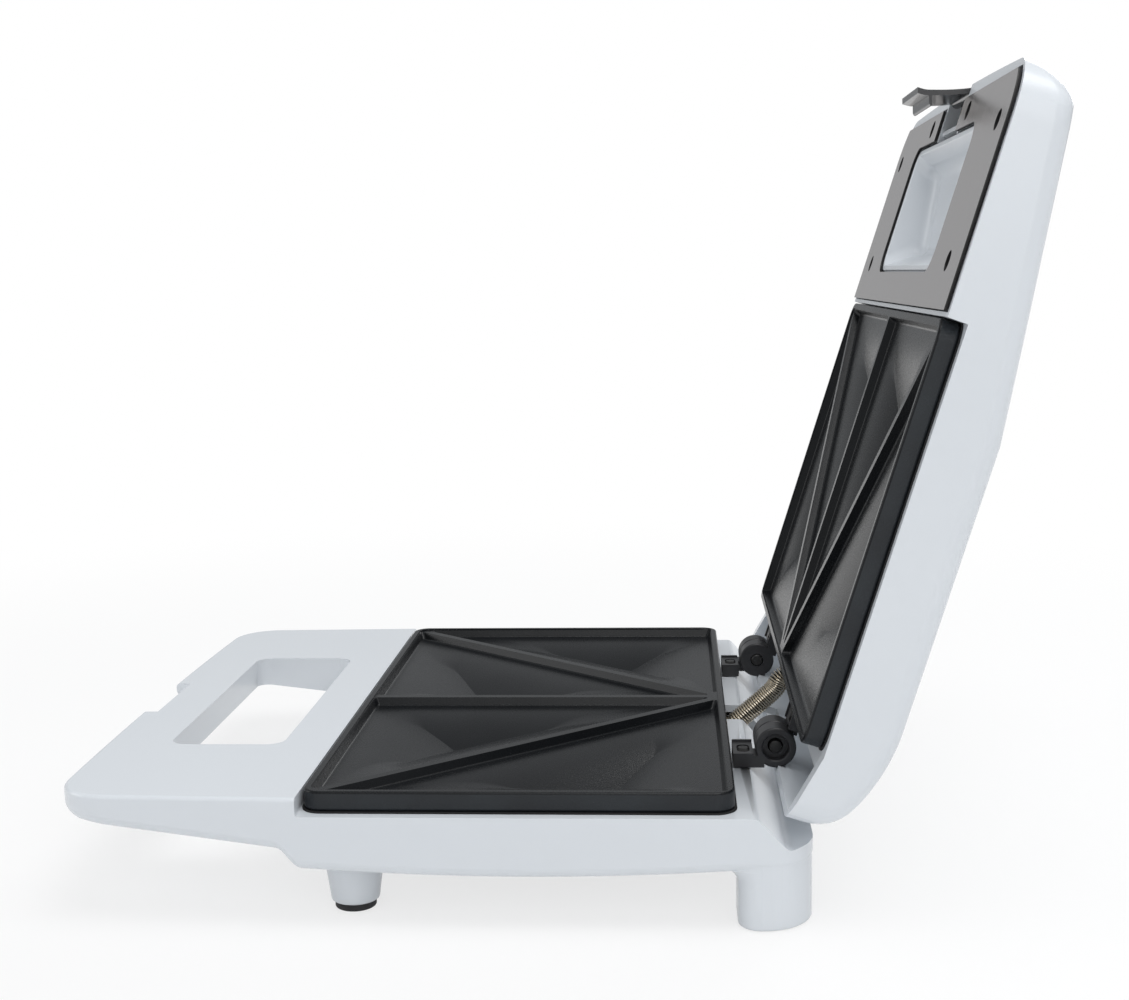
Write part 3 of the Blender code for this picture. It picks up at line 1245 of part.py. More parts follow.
def lid_handle_plate(look, parent):
    """The flat steel plate on the lid's handle, cut out for the finger cup, the latch and the screws."""
    first = STEEL_REAR + FIT
    last = LID_LENGTH - STEEL_INSET - HANDLE_BOW
    stations = [first] + [s for s in lid_stations() if first + FIT < s < last - FIT] + [last]
    right = [(lid_half_width(s) - STEEL_INSET, -s) for s in stations]
    left = [(-x, y) for x, y in reversed(right)]
    low = RIM_RISE + STEEL_RISE
    body = upright("lid_handle_plate", right + left, low, low + STEEL_THICK, look)
    grow = CUP_WALL + FIT
    cup = upright("cup opening", cup_outline(grow), low - CUT_OVERRUN, low + CUT_OVERRUN)
    side = SLOT_HALF + FIT
    slot = box("slot opening", (-side, -LID_LENGTH, low - CUT_OVERRUN), (side, -CUP_FRONT, low + CUT_OVERRUN))
    holes = [turned("screw hole", [(STEEL_SCREW_HEAD + FIT, low - CUT_OVERRUN),
                                   (STEEL_SCREW_HEAD + FIT, low + CUT_OVERRUN)],
                    (x, y, 0), (0, 0, 1), steps=SCREW_STEPS) for x, y in steel_screw_places()]
    return finish(cut(body, cup, slot, *holes), parent)


def cup_outline(grow):
    """Plan of the finger cup's mouth in the lid."""
    return rounded_rectangle(-CUP_HALF - grow, CUP_HALF + grow, -CUP_FRONT - grow, -CUP_REAR + grow,
                             GRIP_CORNER + grow)


def cup_rings(grow, top):
    """Rings of the finger cup from its mouth to its sloping floor."""
    rings = [[(x, y, top) for x, y in cup_outline(grow)]]
    floor = []
    for x, y in rounded_rectangle(-CUP_HALF + CUP_SIDE_DRAFT - grow, CUP_HALF - CUP_SIDE_DRAFT + grow,
                                  -CUP_FRONT + CUP_SIDE_DRAFT - grow, -CUP_REAR - CUP_DRAFT + grow,
                                  GRIP_CORNER + grow):
        share = (-y - CUP_REAR) / (CUP_FRONT - CUP_REAR)
        floor.append((x, y, CUP_REAR_DEPTH + (CUP_FRONT_DEPTH - CUP_REAR_DEPTH) * share + grow))
    return rings + [floor]


def lid_grip_cup(look, parent):
    """The white finger cup behind the steel plate's opening, with the flange that the plate holds down."""
    mouth = RIM_RISE + STEEL_RISE
    body = loft("lid_grip_cup", cup_rings(CUP_WALL, mouth), look)
    flange_at = steel_top() + FIT
    flange = upright("flange", cup_outline(CUP_WALL + CUP_FLANGE), flange_at, flange_at + CUP_FLANGE_THICK)
    front = box("flange trim", (-BASE_HALF, -LID_LENGTH, mouth - CUT_OVERRUN),
                (BASE_HALF, -CUP_FRONT - CUP_WALL - FIT / 2, CUP_REAR_DEPTH))
    cut(flange, front)
    join(body, flange)
    inner = cup_rings(0, mouth)
    inner.insert(0, [(x, y, mouth - CUT_OVERRUN) for x, y in cup_outline(0)])
    return finish(cut(body, loft("cup hollow", inner)), parent)


def latch(look, parent):
    """The latch about its own pin: barrel, blade, hook on the inner side and a finger lip at the tip."""
    back = LATCH_BARREL * LATCH_BACK_SHARE
    front = back - LATCH_THICK
    tip = -LATCH_LENGTH
    hook = -LATCH_HOOK_FROM
    outline = [(front, LATCH_BARREL * LATCH_BACK_SHARE), (front, tip + LATCH_LIP), (front - LATCH_LIP, tip),
               (back - LATCH_LIP / 2, tip - LATCH_THICK / 2), (back, tip + LATCH_LIP),
               (back, hook - LATCH_HOOK_THICK),
               (back + LATCH_HOOK_REACH, hook - LATCH_HOOK_THICK),
               (back + LATCH_HOOK_REACH, hook - LATCH_HOOK_THICK / 2),
               (back, hook), (back, LATCH_BARREL * LATCH_BACK_SHARE)]
    body = crosswise("latch", outline, -LATCH_HALF, LATCH_HALF, look)
    barrel = turned("barrel", [(LATCH_BARREL, -LATCH_HALF), (LATCH_BARREL, LATCH_HALF)], (0, 0, 0), (1, 0, 0))
    bore = turned("bore", [(LATCH_PIN + PIN_PLAY, -LATCH_HALF - CUT_OVERRUN),
                           (LATCH_PIN + PIN_PLAY, LATCH_HALF + CUT_OVERRUN)],
                  (0, 0, 0), (1, 0, 0), steps=SCREW_STEPS)
    return finish(cut(join(body, barrel), bore), parent)


def latch_pin(look, parent):
    """The steel pin that carries the latch between the slot's walls."""
    half = LATCH_HALF + LATCH_SLOT_PLAY + LATCH_PIN_REACH - FIT
    profile = [(LATCH_PIN, -half), (LATCH_PIN, half)]
    return finish(turned("latch_pin", profile, (0, -LATCH_S, LATCH_RISE + RIM_RISE), (1, 0, 0), look,
                         SCREW_STEPS), parent)


def lens_seat(side):
    """Where a lens sits on the lid's sloping roof, and the direction that the roof faces there."""
    slope = (LID_SLOPE_RISE - LID_HEIGHT) / (LID_SLOPE_END - LID_FLAT_END)
    return (side * LENS_X, -LENS_S, lid_rise(LENS_S)), (0, slope, 1)


def indicator(name, side, look, parent):
    """An indicator lens in the lid's sloping roof."""
    neck = LENS_RADIUS - LENS_LEDGE
    profile = [(neck, -WALL), (neck, FIT), (LENS_RADIUS, FIT),
               (LENS_RADIUS, FIT + LENS_DOME / 2),
               (neck, FIT + LENS_DOME)]
    return finish(turned(name, profile, *lens_seat(side), look), parent)


def indicator_lamp(name, side, look, parent):
    """The small lamp behind an indicator lens."""
    top = -WALL - FIT
    return finish(turned(name, [(LAMP_RADIUS, top - LAMP_LENGTH), (LAMP_RADIUS, top)],
                         *lens_seat(side), look, SCREW_STEPS), parent)


def open_place(s, w):
    """World Y and Z of a closed-lid place once the lid is open."""
    turn = -OPEN_ANGLE
    return (HINGE_Y - s * math.cos(turn) - w * math.sin(turn),
            HINGE_Z - s * math.sin(turn) + w * math.cos(turn))


def conduit_path(steps=24):
    """Points close together along the conduit's middle, as (y, z): up, over towards the lid, and in."""
    corners = [Vector((CONDUIT_FROM_Y, height(CONDUIT_FROM_DROP))),
               Vector((CONDUIT_FROM_Y, height(CONDUIT_BEND_DROP))),
               Vector(open_place(CONDUIT_TO_S, CONDUIT_BEND_W)),
               Vector(open_place(CONDUIT_TO_S, CONDUIT_TO_W))]
    lower = bent(corners[:3], CONDUIT_LOW_BEND, steps)
    upper = bent(corners[1:], CONDUIT_TOP_BEND, steps)
    return lower[:-1] + upper[1:]


def even_places(count):
    """Places and directions at even distances along the conduit's path."""
    points = conduit_path()
    lengths = [0.0]
    for before, after in zip(points, points[1:]):
        lengths.append(lengths[-1] + (after - before).length)
    places = []
    at = 0
    for k in range(count + 1):
        goal = lengths[-1] * k / count
        while at < len(points) - 2 and lengths[at + 1] < goal:
            at += 1
        part = (goal - lengths[at]) / (lengths[at + 1] - lengths[at])
        way = points[at + 1] - points[at]
        places.append((points[at] + way * part, way.normalized()))
    return places


def conduit_spring(look):
    """The wound steel conduit as one helical wire round its path; prints the wire's least gap to itself."""
    count = CONDUIT_CURLS * CONDUIT_POINTS
    points = []
    places = even_places(count)
    for k, (place, way) in enumerate(places):
        angle = 2 * math.pi * k / CONDUIT_POINTS
        across = CONDUIT_RADIUS * math.cos(angle)
        up = CONDUIT_RADIUS * math.sin(angle)
        points.append(Vector((CONDUIT_X + across, place.x - way.y * up, place.y + way.x * up)))
    near = CONDUIT_POINTS // 2
    pairs = [(i, j) for i in range(len(points)) for j in range(i + near, len(points))]
    gap = min((points[i] - points[j]).length for i, j in pairs)
    print("conduit spring, least gap to itself in mm:", round((gap - 2 * CONDUIT_WIRE) / MILLIMETRE, 3))
    return tube("conduit_spring", points, CONDUIT_WIRE, look, 1)


def lead_bundle(look):
    """The leads inside the conduit, from the housing's floor to the lid's hollow."""
    places = even_places(LEAD_POINTS)
    points = [Vector((CONDUIT_X, *place)) for place, way in places]
    end = points[-1] + Vector((0, *places[-1][1])) * LEAD_EXTRA
    return tube("lead_bundle", points + [end], LEAD_RADIUS, look, 2)


def centre_and_ground():
    """Moves the whole object so that its box stands on Z = 0, centred on X and Y."""
    bpy.context.view_layer.update()
    graph = bpy.context.evaluated_depsgraph_get()
    corners = []
    for made in bpy.context.scene.objects:
        if made.type in ("MESH", "CURVE"):
            shape = made.evaluated_get(graph).to_mesh()
            corners += [made.matrix_world @ v.co for v in shape.vertices]
    middle = [(min(c[k] for c in corners) + max(c[k] for c in corners)) / 2 for k in (0, 1)]
    shift = Vector((-middle[0], -middle[1], -min(c[2] for c in corners)))
    for made in bpy.context.scene.objects:
        if not made.parent:
            made.location += shift


def looks():
    """The materials, by name."""
    return {
        "white": material("white_plastic", (0.80, 0.82, 0.86), 0.28),
        "coating": material("nonstick_coating", (0.035, 0.037, 0.040), 0.38),
        "black": material("black_plastic", (0.020, 0.020, 0.022), 0.45),
        "latch": material("smoked_plastic", (0.055, 0.055, 0.058), 0.18),
        "steel": material("brushed_steel", (0.56, 0.54, 0.52), 0.32, 1.0),
        "bright": material("bright_steel", (0.70, 0.69, 0.67), 0.22, 1.0),
        "aluminised": material("aluminised_sheet", (0.62, 0.62, 0.62), 0.42, 1.0),
        "rubber": material("black_rubber", (0.018, 0.018, 0.018), 0.75),
        "ceramic": material("white_ceramic", (0.82, 0.80, 0.76), 0.50),
        "sleeve": material("glass_sleeve", (0.78, 0.76, 0.70), 0.70),
        "red": material("red_lens", (0.65, 0.03, 0.02), 0.15),
        "green": material("green_lens", (0.04, 0.45, 0.10), 0.15),
        "lamp": material("lamp_glass", (0.85, 0.85, 0.85), 0.10),
    }


def build_base(look):
    """Every piece that stays on the table."""
    base_housing(look["white"])
    base_bottom_cover(look["white"])
    handle_cover(look["white"])
    for side, tag in ((-1, "left"), (1, "right")):
        foot_pad(side, "front_foot_pad_" + tag, look["rubber"])
        hinge_bracket("base_hinge_bracket_" + tag, side, False, look["black"])
        hinge_pin("hinge_pin_" + tag, side, look["bright"])
        hinge_screw("base_hinge_screw_" + tag, side, False, look["bright"])
        element_clip("lower_element_clip_" + tag, side, look["aluminised"])
    cooking_plate("lower_plate", look["coating"])
    element("lower_heating_element", look["bright"])
    heat_shield("lower_heat_shield", look["aluminised"])
    thermostat(look["ceramic"])
    thermal_fuse(look["sleeve"])
    terminal_block(look["ceramic"])
    cord_gland(look["black"])
    cover_screws(look["bright"])
    plate_screws("lower", look["bright"])


def cover_screws(look):
    """The screws of the bottom cover and of the handle cover, driven upwards into their posts."""
    shank = POST_HOLE_RADIUS - FIT
    places = [("cover_screw_", place) for place in cover_screw_places()]
    places += [("handle_screw_", place) for place in handle_screw_places()]
    for k, (name, (x, y)) in enumerate(places):
        drop = max(base_under_drop(y - SCREW_HEAD_RADIUS), base_under_drop(y + SCREW_HEAD_RADIUS))
        screw(name + str(k + 1), (x, y, height(drop) - FIT), (0, 0, 1), look, shank=shank)


def plate_screws(name, look, parent=None):
    """The screws that hold a heat shield to the bosses of its plate."""
    seat_at = -BOSS_DROP - 2 * FIT - SHIELD_THICK
    for k, (x, y) in enumerate(boss_places()):
        made = screw(name + "_plate_screw_" + str(k + 1), (x, y, seat_at), (0, 0, 1), look)
        seat(made, parent)


def steel_screws(look, parent):
    """The six screws in the lid's steel handle plate."""
    seat_at = steel_top()
    for k, (x, y) in enumerate(steel_screw_places()):
        screw("handle_plate_screw_" + str(k + 1), (x, y, seat_at), (0, 0, 1), look, STEEL_SCREW_HEAD,
              STEEL_THICK, STEEL_SCREW_SHANK, STEEL_SCREW_LENGTH, parent)


def build_lid(look, lid):
    """Every piece that turns with the lid, except the latch."""
    lid_shell(look["white"], lid)
    lid_handle_plate(look["steel"], lid)
    lid_grip_cup(look["white"], lid)
    latch_pin(look["bright"], lid)
    steel_screws(look["bright"], lid)
    for side, tag in ((-1, "left"), (1, "right")):
        hinge_bracket("lid_hinge_bracket_" + tag, side, True, look["black"], lid)
        hinge_screw("lid_hinge_screw_" + tag, side, True, look["bright"], lid)
        element_clip("upper_element_clip_" + tag, -side, look["aluminised"], lid)
    indicator("power_lens", -1, look["red"], lid)
    indicator("ready_lens", 1, look["green"], lid)
    indicator_lamp("power_lamp", -1, look["lamp"], lid)
    indicator_lamp("ready_lamp", 1, look["lamp"], lid)
    cooking_plate("upper_plate", look["coating"], lid)
    element("upper_heating_element", look["bright"], lid)
    heat_shield("upper_heat_shield", look["aluminised"], lid)
    plate_screws("upper", look["bright"], lid)


def main():
    """Builds the whole object, opened as it stands in use."""
    for old in list(bpy.data.objects):
        bpy.data.objects.remove(old)
    look = looks()
    build_base(look)
    lid = pivot("lid_pivot", (0, HINGE_Y, HINGE_Z), -OPEN_ANGLE)
    build_lid(look, lid)
    carrier = pivot("latch_pivot", (0, -LATCH_S, LATCH_RISE + RIM_RISE), LATCH_LEAN, lid)
    latch(look["latch"], carrier)
    conduit_spring(look["bright"])
    lead_bundle(look["sleeve"])
    centre_and_ground()


main()
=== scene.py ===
"""Looks of a two-slice sandwich maker that stands open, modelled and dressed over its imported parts."""
import logging
import math
from dataclasses import dataclass
from enum import Enum
from typing import Callable, Iterable, Optional, Sequence

import bmesh
import bpy
from mathutils import Matrix, Vector


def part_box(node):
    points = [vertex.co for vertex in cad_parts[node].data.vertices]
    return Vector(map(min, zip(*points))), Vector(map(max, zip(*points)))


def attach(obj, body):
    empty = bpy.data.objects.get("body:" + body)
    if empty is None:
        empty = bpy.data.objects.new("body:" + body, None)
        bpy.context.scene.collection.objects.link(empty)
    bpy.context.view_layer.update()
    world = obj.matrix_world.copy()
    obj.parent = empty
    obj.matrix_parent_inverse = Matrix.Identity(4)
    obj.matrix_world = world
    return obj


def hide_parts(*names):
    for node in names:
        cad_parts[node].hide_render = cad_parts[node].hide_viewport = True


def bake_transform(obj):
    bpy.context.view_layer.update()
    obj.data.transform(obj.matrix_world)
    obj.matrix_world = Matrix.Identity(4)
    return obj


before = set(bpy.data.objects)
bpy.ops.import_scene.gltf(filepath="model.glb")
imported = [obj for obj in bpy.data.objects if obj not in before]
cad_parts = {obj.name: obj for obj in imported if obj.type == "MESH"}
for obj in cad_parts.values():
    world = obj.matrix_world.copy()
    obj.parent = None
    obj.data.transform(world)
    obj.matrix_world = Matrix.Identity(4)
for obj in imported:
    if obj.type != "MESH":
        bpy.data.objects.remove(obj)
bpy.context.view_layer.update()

log = logging.getLogger("sandwich_maker")

Solid = bmesh.types.BMesh
Plan = list[tuple[float, float]]
Ring = list[Vector]
Triple = tuple[float, float, float]
UP = Vector((0, 0, 1))
RIGHT = Vector((1, 0, 0))
FIT = 0.0003
MERGE = 1e-7
CARVE_MERGE = 1e-6
FLAT_WITHIN = math.radians(0.2)
SHARP_FROM = math.radians(50)
SHADE_SHARP_FROM = math.radians(38)


class Body(Enum):
    """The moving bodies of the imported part."""

    BASE = "base"
    LID = "lid"
    LATCH = "latch"


class Carving(Enum):
    """How one solid changes another."""

    ADD = "UNION"
    REMOVE = "DIFFERENCE"
    KEEP = "INTERSECT"


@dataclass(frozen=True)
class Datum:
    """Planes and axes that every sub-assembly is placed from, in metres."""

    rear: float = 0.0554946
    mating: float = 0.0400
    hinge_y: float = 0.0140
    hinge_z: float = 0.0002
    open_angle: float = math.radians(107.5)
    latch_reach: float = 0.2132
    latch_rise: float = 0.0028
    latch_lean: float = math.radians(19.0)

    def base(self) -> Matrix:
        """From the plate's rear edge and the mating plane to the world."""
        return Matrix.Translation((0, self.rear, self.mating))

    def hinge(self) -> Matrix:
        """From the hinge axis to the world, unturned."""
        return self.base() @ Matrix.Translation((0, self.hinge_y, self.hinge_z))

    def lid(self) -> Matrix:
        """From the closed lid's own frame, about the hinge axis, to the opened lid."""
        return self.hinge() @ Matrix.Rotation(-self.open_angle, 4, "X")

    def latch(self) -> Matrix:
        """From the latch's own frame, about its pin, to the world."""
        at = Matrix.Translation((0, -self.latch_reach, self.latch_rise))
        return self.lid() @ at @ Matrix.Rotation(self.latch_lean, 4, "X")


DATUM = Datum()


# Solids


def close_ends(shape: Solid) -> None:
    """Puts a face across each open end."""
    rim = [edge for edge in shape.edges if len(edge.link_faces) == 1]
    bmesh.ops.holes_fill(shape, edges=rim, sides=0)


def skin(rings: Sequence[Ring]) -> Solid:
    """A closed solid through rings with the same number of points, with a face across each end."""
    shape = bmesh.new()
    count = len(rings[0])
    bmesh.ops.create_grid(shape, x_segments=count, y_segments=len(rings) - 1, size=1.0)
    shape.verts.ensure_lookup_table()
    for index, vert in enumerate(shape.verts):
        row, column = divmod(index, count + 1)
        vert.co = rings[row][column % count]
    bmesh.ops.remove_doubles(shape, verts=shape.verts, dist=MERGE)
    bmesh.ops.dissolve_degenerate(shape, dist=MERGE, edges=shape.edges)
    close_ends(shape)
    bmesh.ops.recalc_face_normals(shape, faces=shape.faces)
    return shape


def level(plan: Plan, z: float) -> Ring:
    """A plan's points at one height."""
    return [Vector((x, y, z)) for x, y in plan]


def prism(plan: Plan, low: float, high: float, axis: str = "Z") -> Solid:
    """A plan drawn out straight: (x, y) points along Z, or (y, z) points along X."""
    if axis == "Z":
        return skin([level(plan, low), level(plan, high)])
    return skin([[Vector((x, u, v)) for u, v in plan] for x in (low, high)])


def block(low: Sequence[float], high: Sequence[float]) -> Solid:
    """A box between two corners."""
    shape = bmesh.new()
    bmesh.ops.create_cube(shape, size=1.0)
    size = Vector(high) - Vector(low)
    bmesh.ops.scale(shape, vec=size, verts=shape.verts)
    bmesh.ops.translate(shape, vec=(Vector(low) + Vector(high)) / 2, verts=shape.verts)
    return shape


def lathe(profile: Plan, place: Sequence[float] = (0, 0, 0), axis: Sequence[float] = UP, steps: int = 48,
          ring: bool = False) -> Solid:
    """A solid turned from (radius, distance along the axis) pairs, or a ring from a closed loop of them."""
    shape = bmesh.new()
    verts = [shape.verts.new((radius, 0, along)) for radius, along in profile]
    after = verts[1:] + verts[:1] if ring else verts[1:]
    edges = [shape.edges.new(pair) for pair in zip(verts, after)]
    bmesh.ops.spin(shape, geom=verts + edges, cent=(0, 0, 0), axis=UP, angle=math.tau, steps=steps, use_merge=True)
    bmesh.ops.remove_doubles(shape, verts=shape.verts, dist=MERGE)
    if not ring:
        close_ends(shape)
    bmesh.ops.recalc_face_normals(shape, faces=shape.faces)
    turn = UP.rotation_difference(Vector(axis)).to_matrix().to_4x4()
    shape.transform(Matrix.Translation(place) @ turn)
    return shape


def drill(radius: float, low: float, high: float, place: Sequence[float] = (0, 0, 0), steps: int = 16,
          axis: Sequence[float] = UP) -> Solid:
    """A straight round bar, as a post or as a cutter."""
    return lathe([(radius, low), (radius, high)], place, axis, steps)


def mirror(shape: Solid, *signs: int) -> None:
    """Mirrors a solid and keeps its faces turned outwards."""
    shape.transform(Matrix.Diagonal((*signs, 1)))
    bmesh.ops.reverse_faces(shape, faces=shape.faces)


def tube(points: Ring, radius: float, sides: int) -> Solid:
    """A round bar along a smooth path, with a steady twist."""
    rings = []
    normal = (points[1] - points[0]).orthogonal().normalized()
    for k, point in enumerate(points):
        before = points[max(k - 1, 0)]
        after = points[min(k + 1, len(points) - 1)]
        way = (after - before).normalized()
        normal = (normal - way * normal.dot(way)).normalized()
        across = way.cross(normal)
        rings.append([point + radius * (normal * math.cos(math.tau * j / sides)
                                        + across * math.sin(math.tau * j / sides)) for j in range(sides)])
    return skin(rings)


def carve(shape: Solid, others: Iterable[Solid], how: Carving) -> Solid:
    """Adds, removes or keeps what is shared with other solids, which are used up."""
    target = _loose(shape, "work")
    tools = [_loose(other, "tool") for other in others]
    for tool in tools:
        step = target.modifiers.new("carve", "BOOLEAN")
        step.operation = how.value
        step.solver = "EXACT"
        step.object = tool
    bpy.context.view_layer.update()
    graph = bpy.context.evaluated_depsgraph_get()
    mesh = bpy.data.meshes.new_from_object(target.evaluated_get(graph))
    result = bmesh.new()
    result.from_mesh(mesh)
    bpy.data.meshes.remove(mesh)
    for made in [target, *tools]:
        data = made.data
        bpy.data.objects.remove(made)
        bpy.data.meshes.remove(data)
    bmesh.ops.remove_doubles(result, verts=result.verts, dist=CARVE_MERGE)
    return result


def _loose(shape: Solid, name: str) -> bpy.types.Object:
    """A working object from a solid, which is freed."""
    mesh = bpy.data.meshes.new(name)
    shape.to_mesh(mesh)
    shape.free()
    made = bpy.data.objects.new(name, mesh)
    bpy.context.scene.collection.objects.link(made)
    return made


def round_edges(shape: Solid, width: float, segments: int = 3,
                where: Callable[[Vector], bool] = lambda middle: True,
                sharper_than: float = SHARP_FROM) -> None:
    """Rounds the sharp edges whose middles are chosen, by a width from the edge, and marks the new faces for a
    lighter edge colour, partly rubbed and partly a painted highlight.
    """
    worn = shape.faces.layers.float.get("worn") or shape.faces.layers.float.new("worn")
    bmesh.ops.dissolve_limit(shape, angle_limit=FLAT_WITHIN, use_dissolve_boundaries=False,
                             verts=shape.verts, edges=shape.edges, delimit=set())
    chosen = [edge for edge in shape.edges
              if len(edge.link_faces) == 2 and edge.calc_face_angle(0.0) > sharper_than
              and where((edge.verts[0].co + edge.verts[1].co) / 2)]
    made = bmesh.ops.bevel(shape, geom=chosen, offset=width, offset_type="OFFSET", segments=segments, profile=0.5,
                           affect="EDGES", clamp_overlap=True, material=-1)
    for face in made["faces"]:
        face[worn] = 1.0


# Outlines


def rounded_plan(corners: Plan, radii: Sequence[float], steps: int = 6) -> Plan:
    """A polygon whose corners are rounded, each by its own radius and with the same number of points."""
    points = []
    for k, (place, radius) in enumerate(zip(corners, radii)):
        corner = Vector(place)
        before = (Vector(corners[k - 1]) - corner).normalized()
        after = (Vector(corners[(k + 1) % len(corners)]) - corner).normalized()
        half = before.angle(after) / 2
        centre = corner + (before + after).normalized() * radius / math.sin(half)
        start = corner + before * radius / math.tan(half) - centre
        end = corner + after * radius / math.tan(half) - centre
        for j in range(steps + 1):
            spoke = start.normalized().slerp(end.normalized(), j / steps) if radius else Vector((0, 0))
            points.append(tuple(centre + spoke * radius))
    return points


def rectangle(low_u: float, high_u: float, low_v: float, high_v: float, radius: float, steps: int = 8) -> Plan:
    """A rectangle with rounded corners."""
    corners = [(high_u, high_v), (low_u, high_v), (low_u, low_v), (high_u, low_v)]
    return rounded_plan(corners, [radius] * 4, steps)


def shrunk(plan: Plan, inset: float) -> Plan:
    """A smooth anticlockwise outline moved inwards along its own normals."""
    moved = []
    for k, point in enumerate(plan):
        way = Vector(plan[(k + 1) % len(plan)]) - Vector(plan[k - 1])
        inward = Vector((-way.y, way.x)).normalized()
        moved.append(tuple(Vector(point) + inward * inset))
    return moved


def inset_corners(corners: Plan, insets: Sequence[float]) -> Plan:
    """The corners of a convex polygon whose sides move in, the first of them from corner 0 to corner 1."""
    middle = Vector((sum(c[0] for c in corners), sum(c[1] for c in corners))) / len(corners)
    lines = []
    for k, inset in enumerate(insets):
        start, end = Vector(corners[k]), Vector(corners[(k + 1) % len(corners)])
        normal = Vector((start.y - end.y, end.x - start.x)).normalized()
        if normal.dot(middle - start) < 0:
            normal.negate()
        lines.append((normal, normal.dot(start) + inset))
    found = []
    for k in range(len(corners)):
        (n, a), (m, b) = lines[k - 1], lines[k]
        spread = n.x * m.y - n.y * m.x
        found.append(((a * m.y - b * n.y) / spread, (b * n.x - a * m.x) / spread))
    return found


def inradius(corners: Plan) -> float:
    """Radius of the circle that fits inside a triangle."""
    a, b, c = (Vector(corner) for corner in corners)
    area = abs((b - a).x * (c - a).y - (b - a).y * (c - a).x)
    return area / ((b - a).length + (c - b).length + (a - c).length)


def arc(steps: int) -> list[float]:
    """Angles from 0 to a quarter turn."""
    return [math.pi / 2 * k / steps for k in range(steps + 1)]


def rounded_start(radius: float, low: float, edge: float) -> Plan:
    """Profile points of a rim that is rounded where it starts."""
    return [(radius - edge * (1 - math.sin(a)), low + edge * (1 - math.cos(a))) for a in arc(4)[1:]]


def bend(corners: Sequence[Vector], radii: Sequence[float], steps: int = 12) -> Ring:
    """A path through corners that is rounded at each inner one."""
    path = [Vector(corners[0])]
    for k, radius in enumerate(radii, start=1):
        corner = Vector(corners[k])
        before = (Vector(corners[k - 1]) - corner).normalized()
        after = (Vector(corners[k + 1]) - corner).normalized()
        half = before.angle(after) / 2
        centre = corner + (before + after).normalized() * radius / math.sin(half)
        start = (corner + before * radius / math.tan(half) - centre).normalized()
        end = (corner + after * radius / math.tan(half) - centre).normalized()
        path += [centre + start.slerp(end, j / steps) * radius for j in range(steps + 1)]
    path.append(Vector(corners[-1]))
    return path


# Finishes


def blank(name: str) -> tuple[bpy.types.Material, "Tree"]:
    """A new material and its node tree."""
    material = bpy.data.materials.new(name)
    material.use_nodes = True
    return material, Tree(material.node_tree, shader="Principled BSDF", out="Material Output")


class Tree:
    """A node tree under construction, whose nodes go by short names."""

    def __init__(self, tree: bpy.types.NodeTree, **known: str) -> None:
        """Starts from nodes that the tree already has."""
        self.tree = tree
        self.nodes = {name: tree.nodes[label] for name, label in known.items()}

    def add(self, name: str, kind: str, sockets: Optional[dict[str, object]] = None, **values: object) -> None:
        """Adds a node with its properties, then with values for its sockets."""
        self.nodes[name] = node = self.tree.nodes.new(kind)
        for key, value in values.items():
            setattr(node, key, value)
        self.set(name, **(sockets or {}))

    def set(self, name: str, **values: object) -> None:
        """Sets sockets of a node, with underscores for spaces."""
        for key, value in values.items():
            self.nodes[name].inputs[key.replace("_", " ")].default_value = value

    def wire(self, links: str) -> None:
        """Joins sockets: each word is node.output>node.input, by name or by number."""
        for word in links.split():
            (source, given), (target, taken) = (end.split(".") for end in word.split(">"))
            self.tree.links.new(self._socket(self.nodes[source].outputs, given),
                                self._socket(self.nodes[target].inputs, taken))

    @staticmethod
    def _socket(sockets: Sequence[bpy.types.NodeSocket], key: str) -> bpy.types.NodeSocket:
        """One socket of a node."""
        return sockets[int(key)] if key.isdigit() else sockets[key.replace("_", " ")]


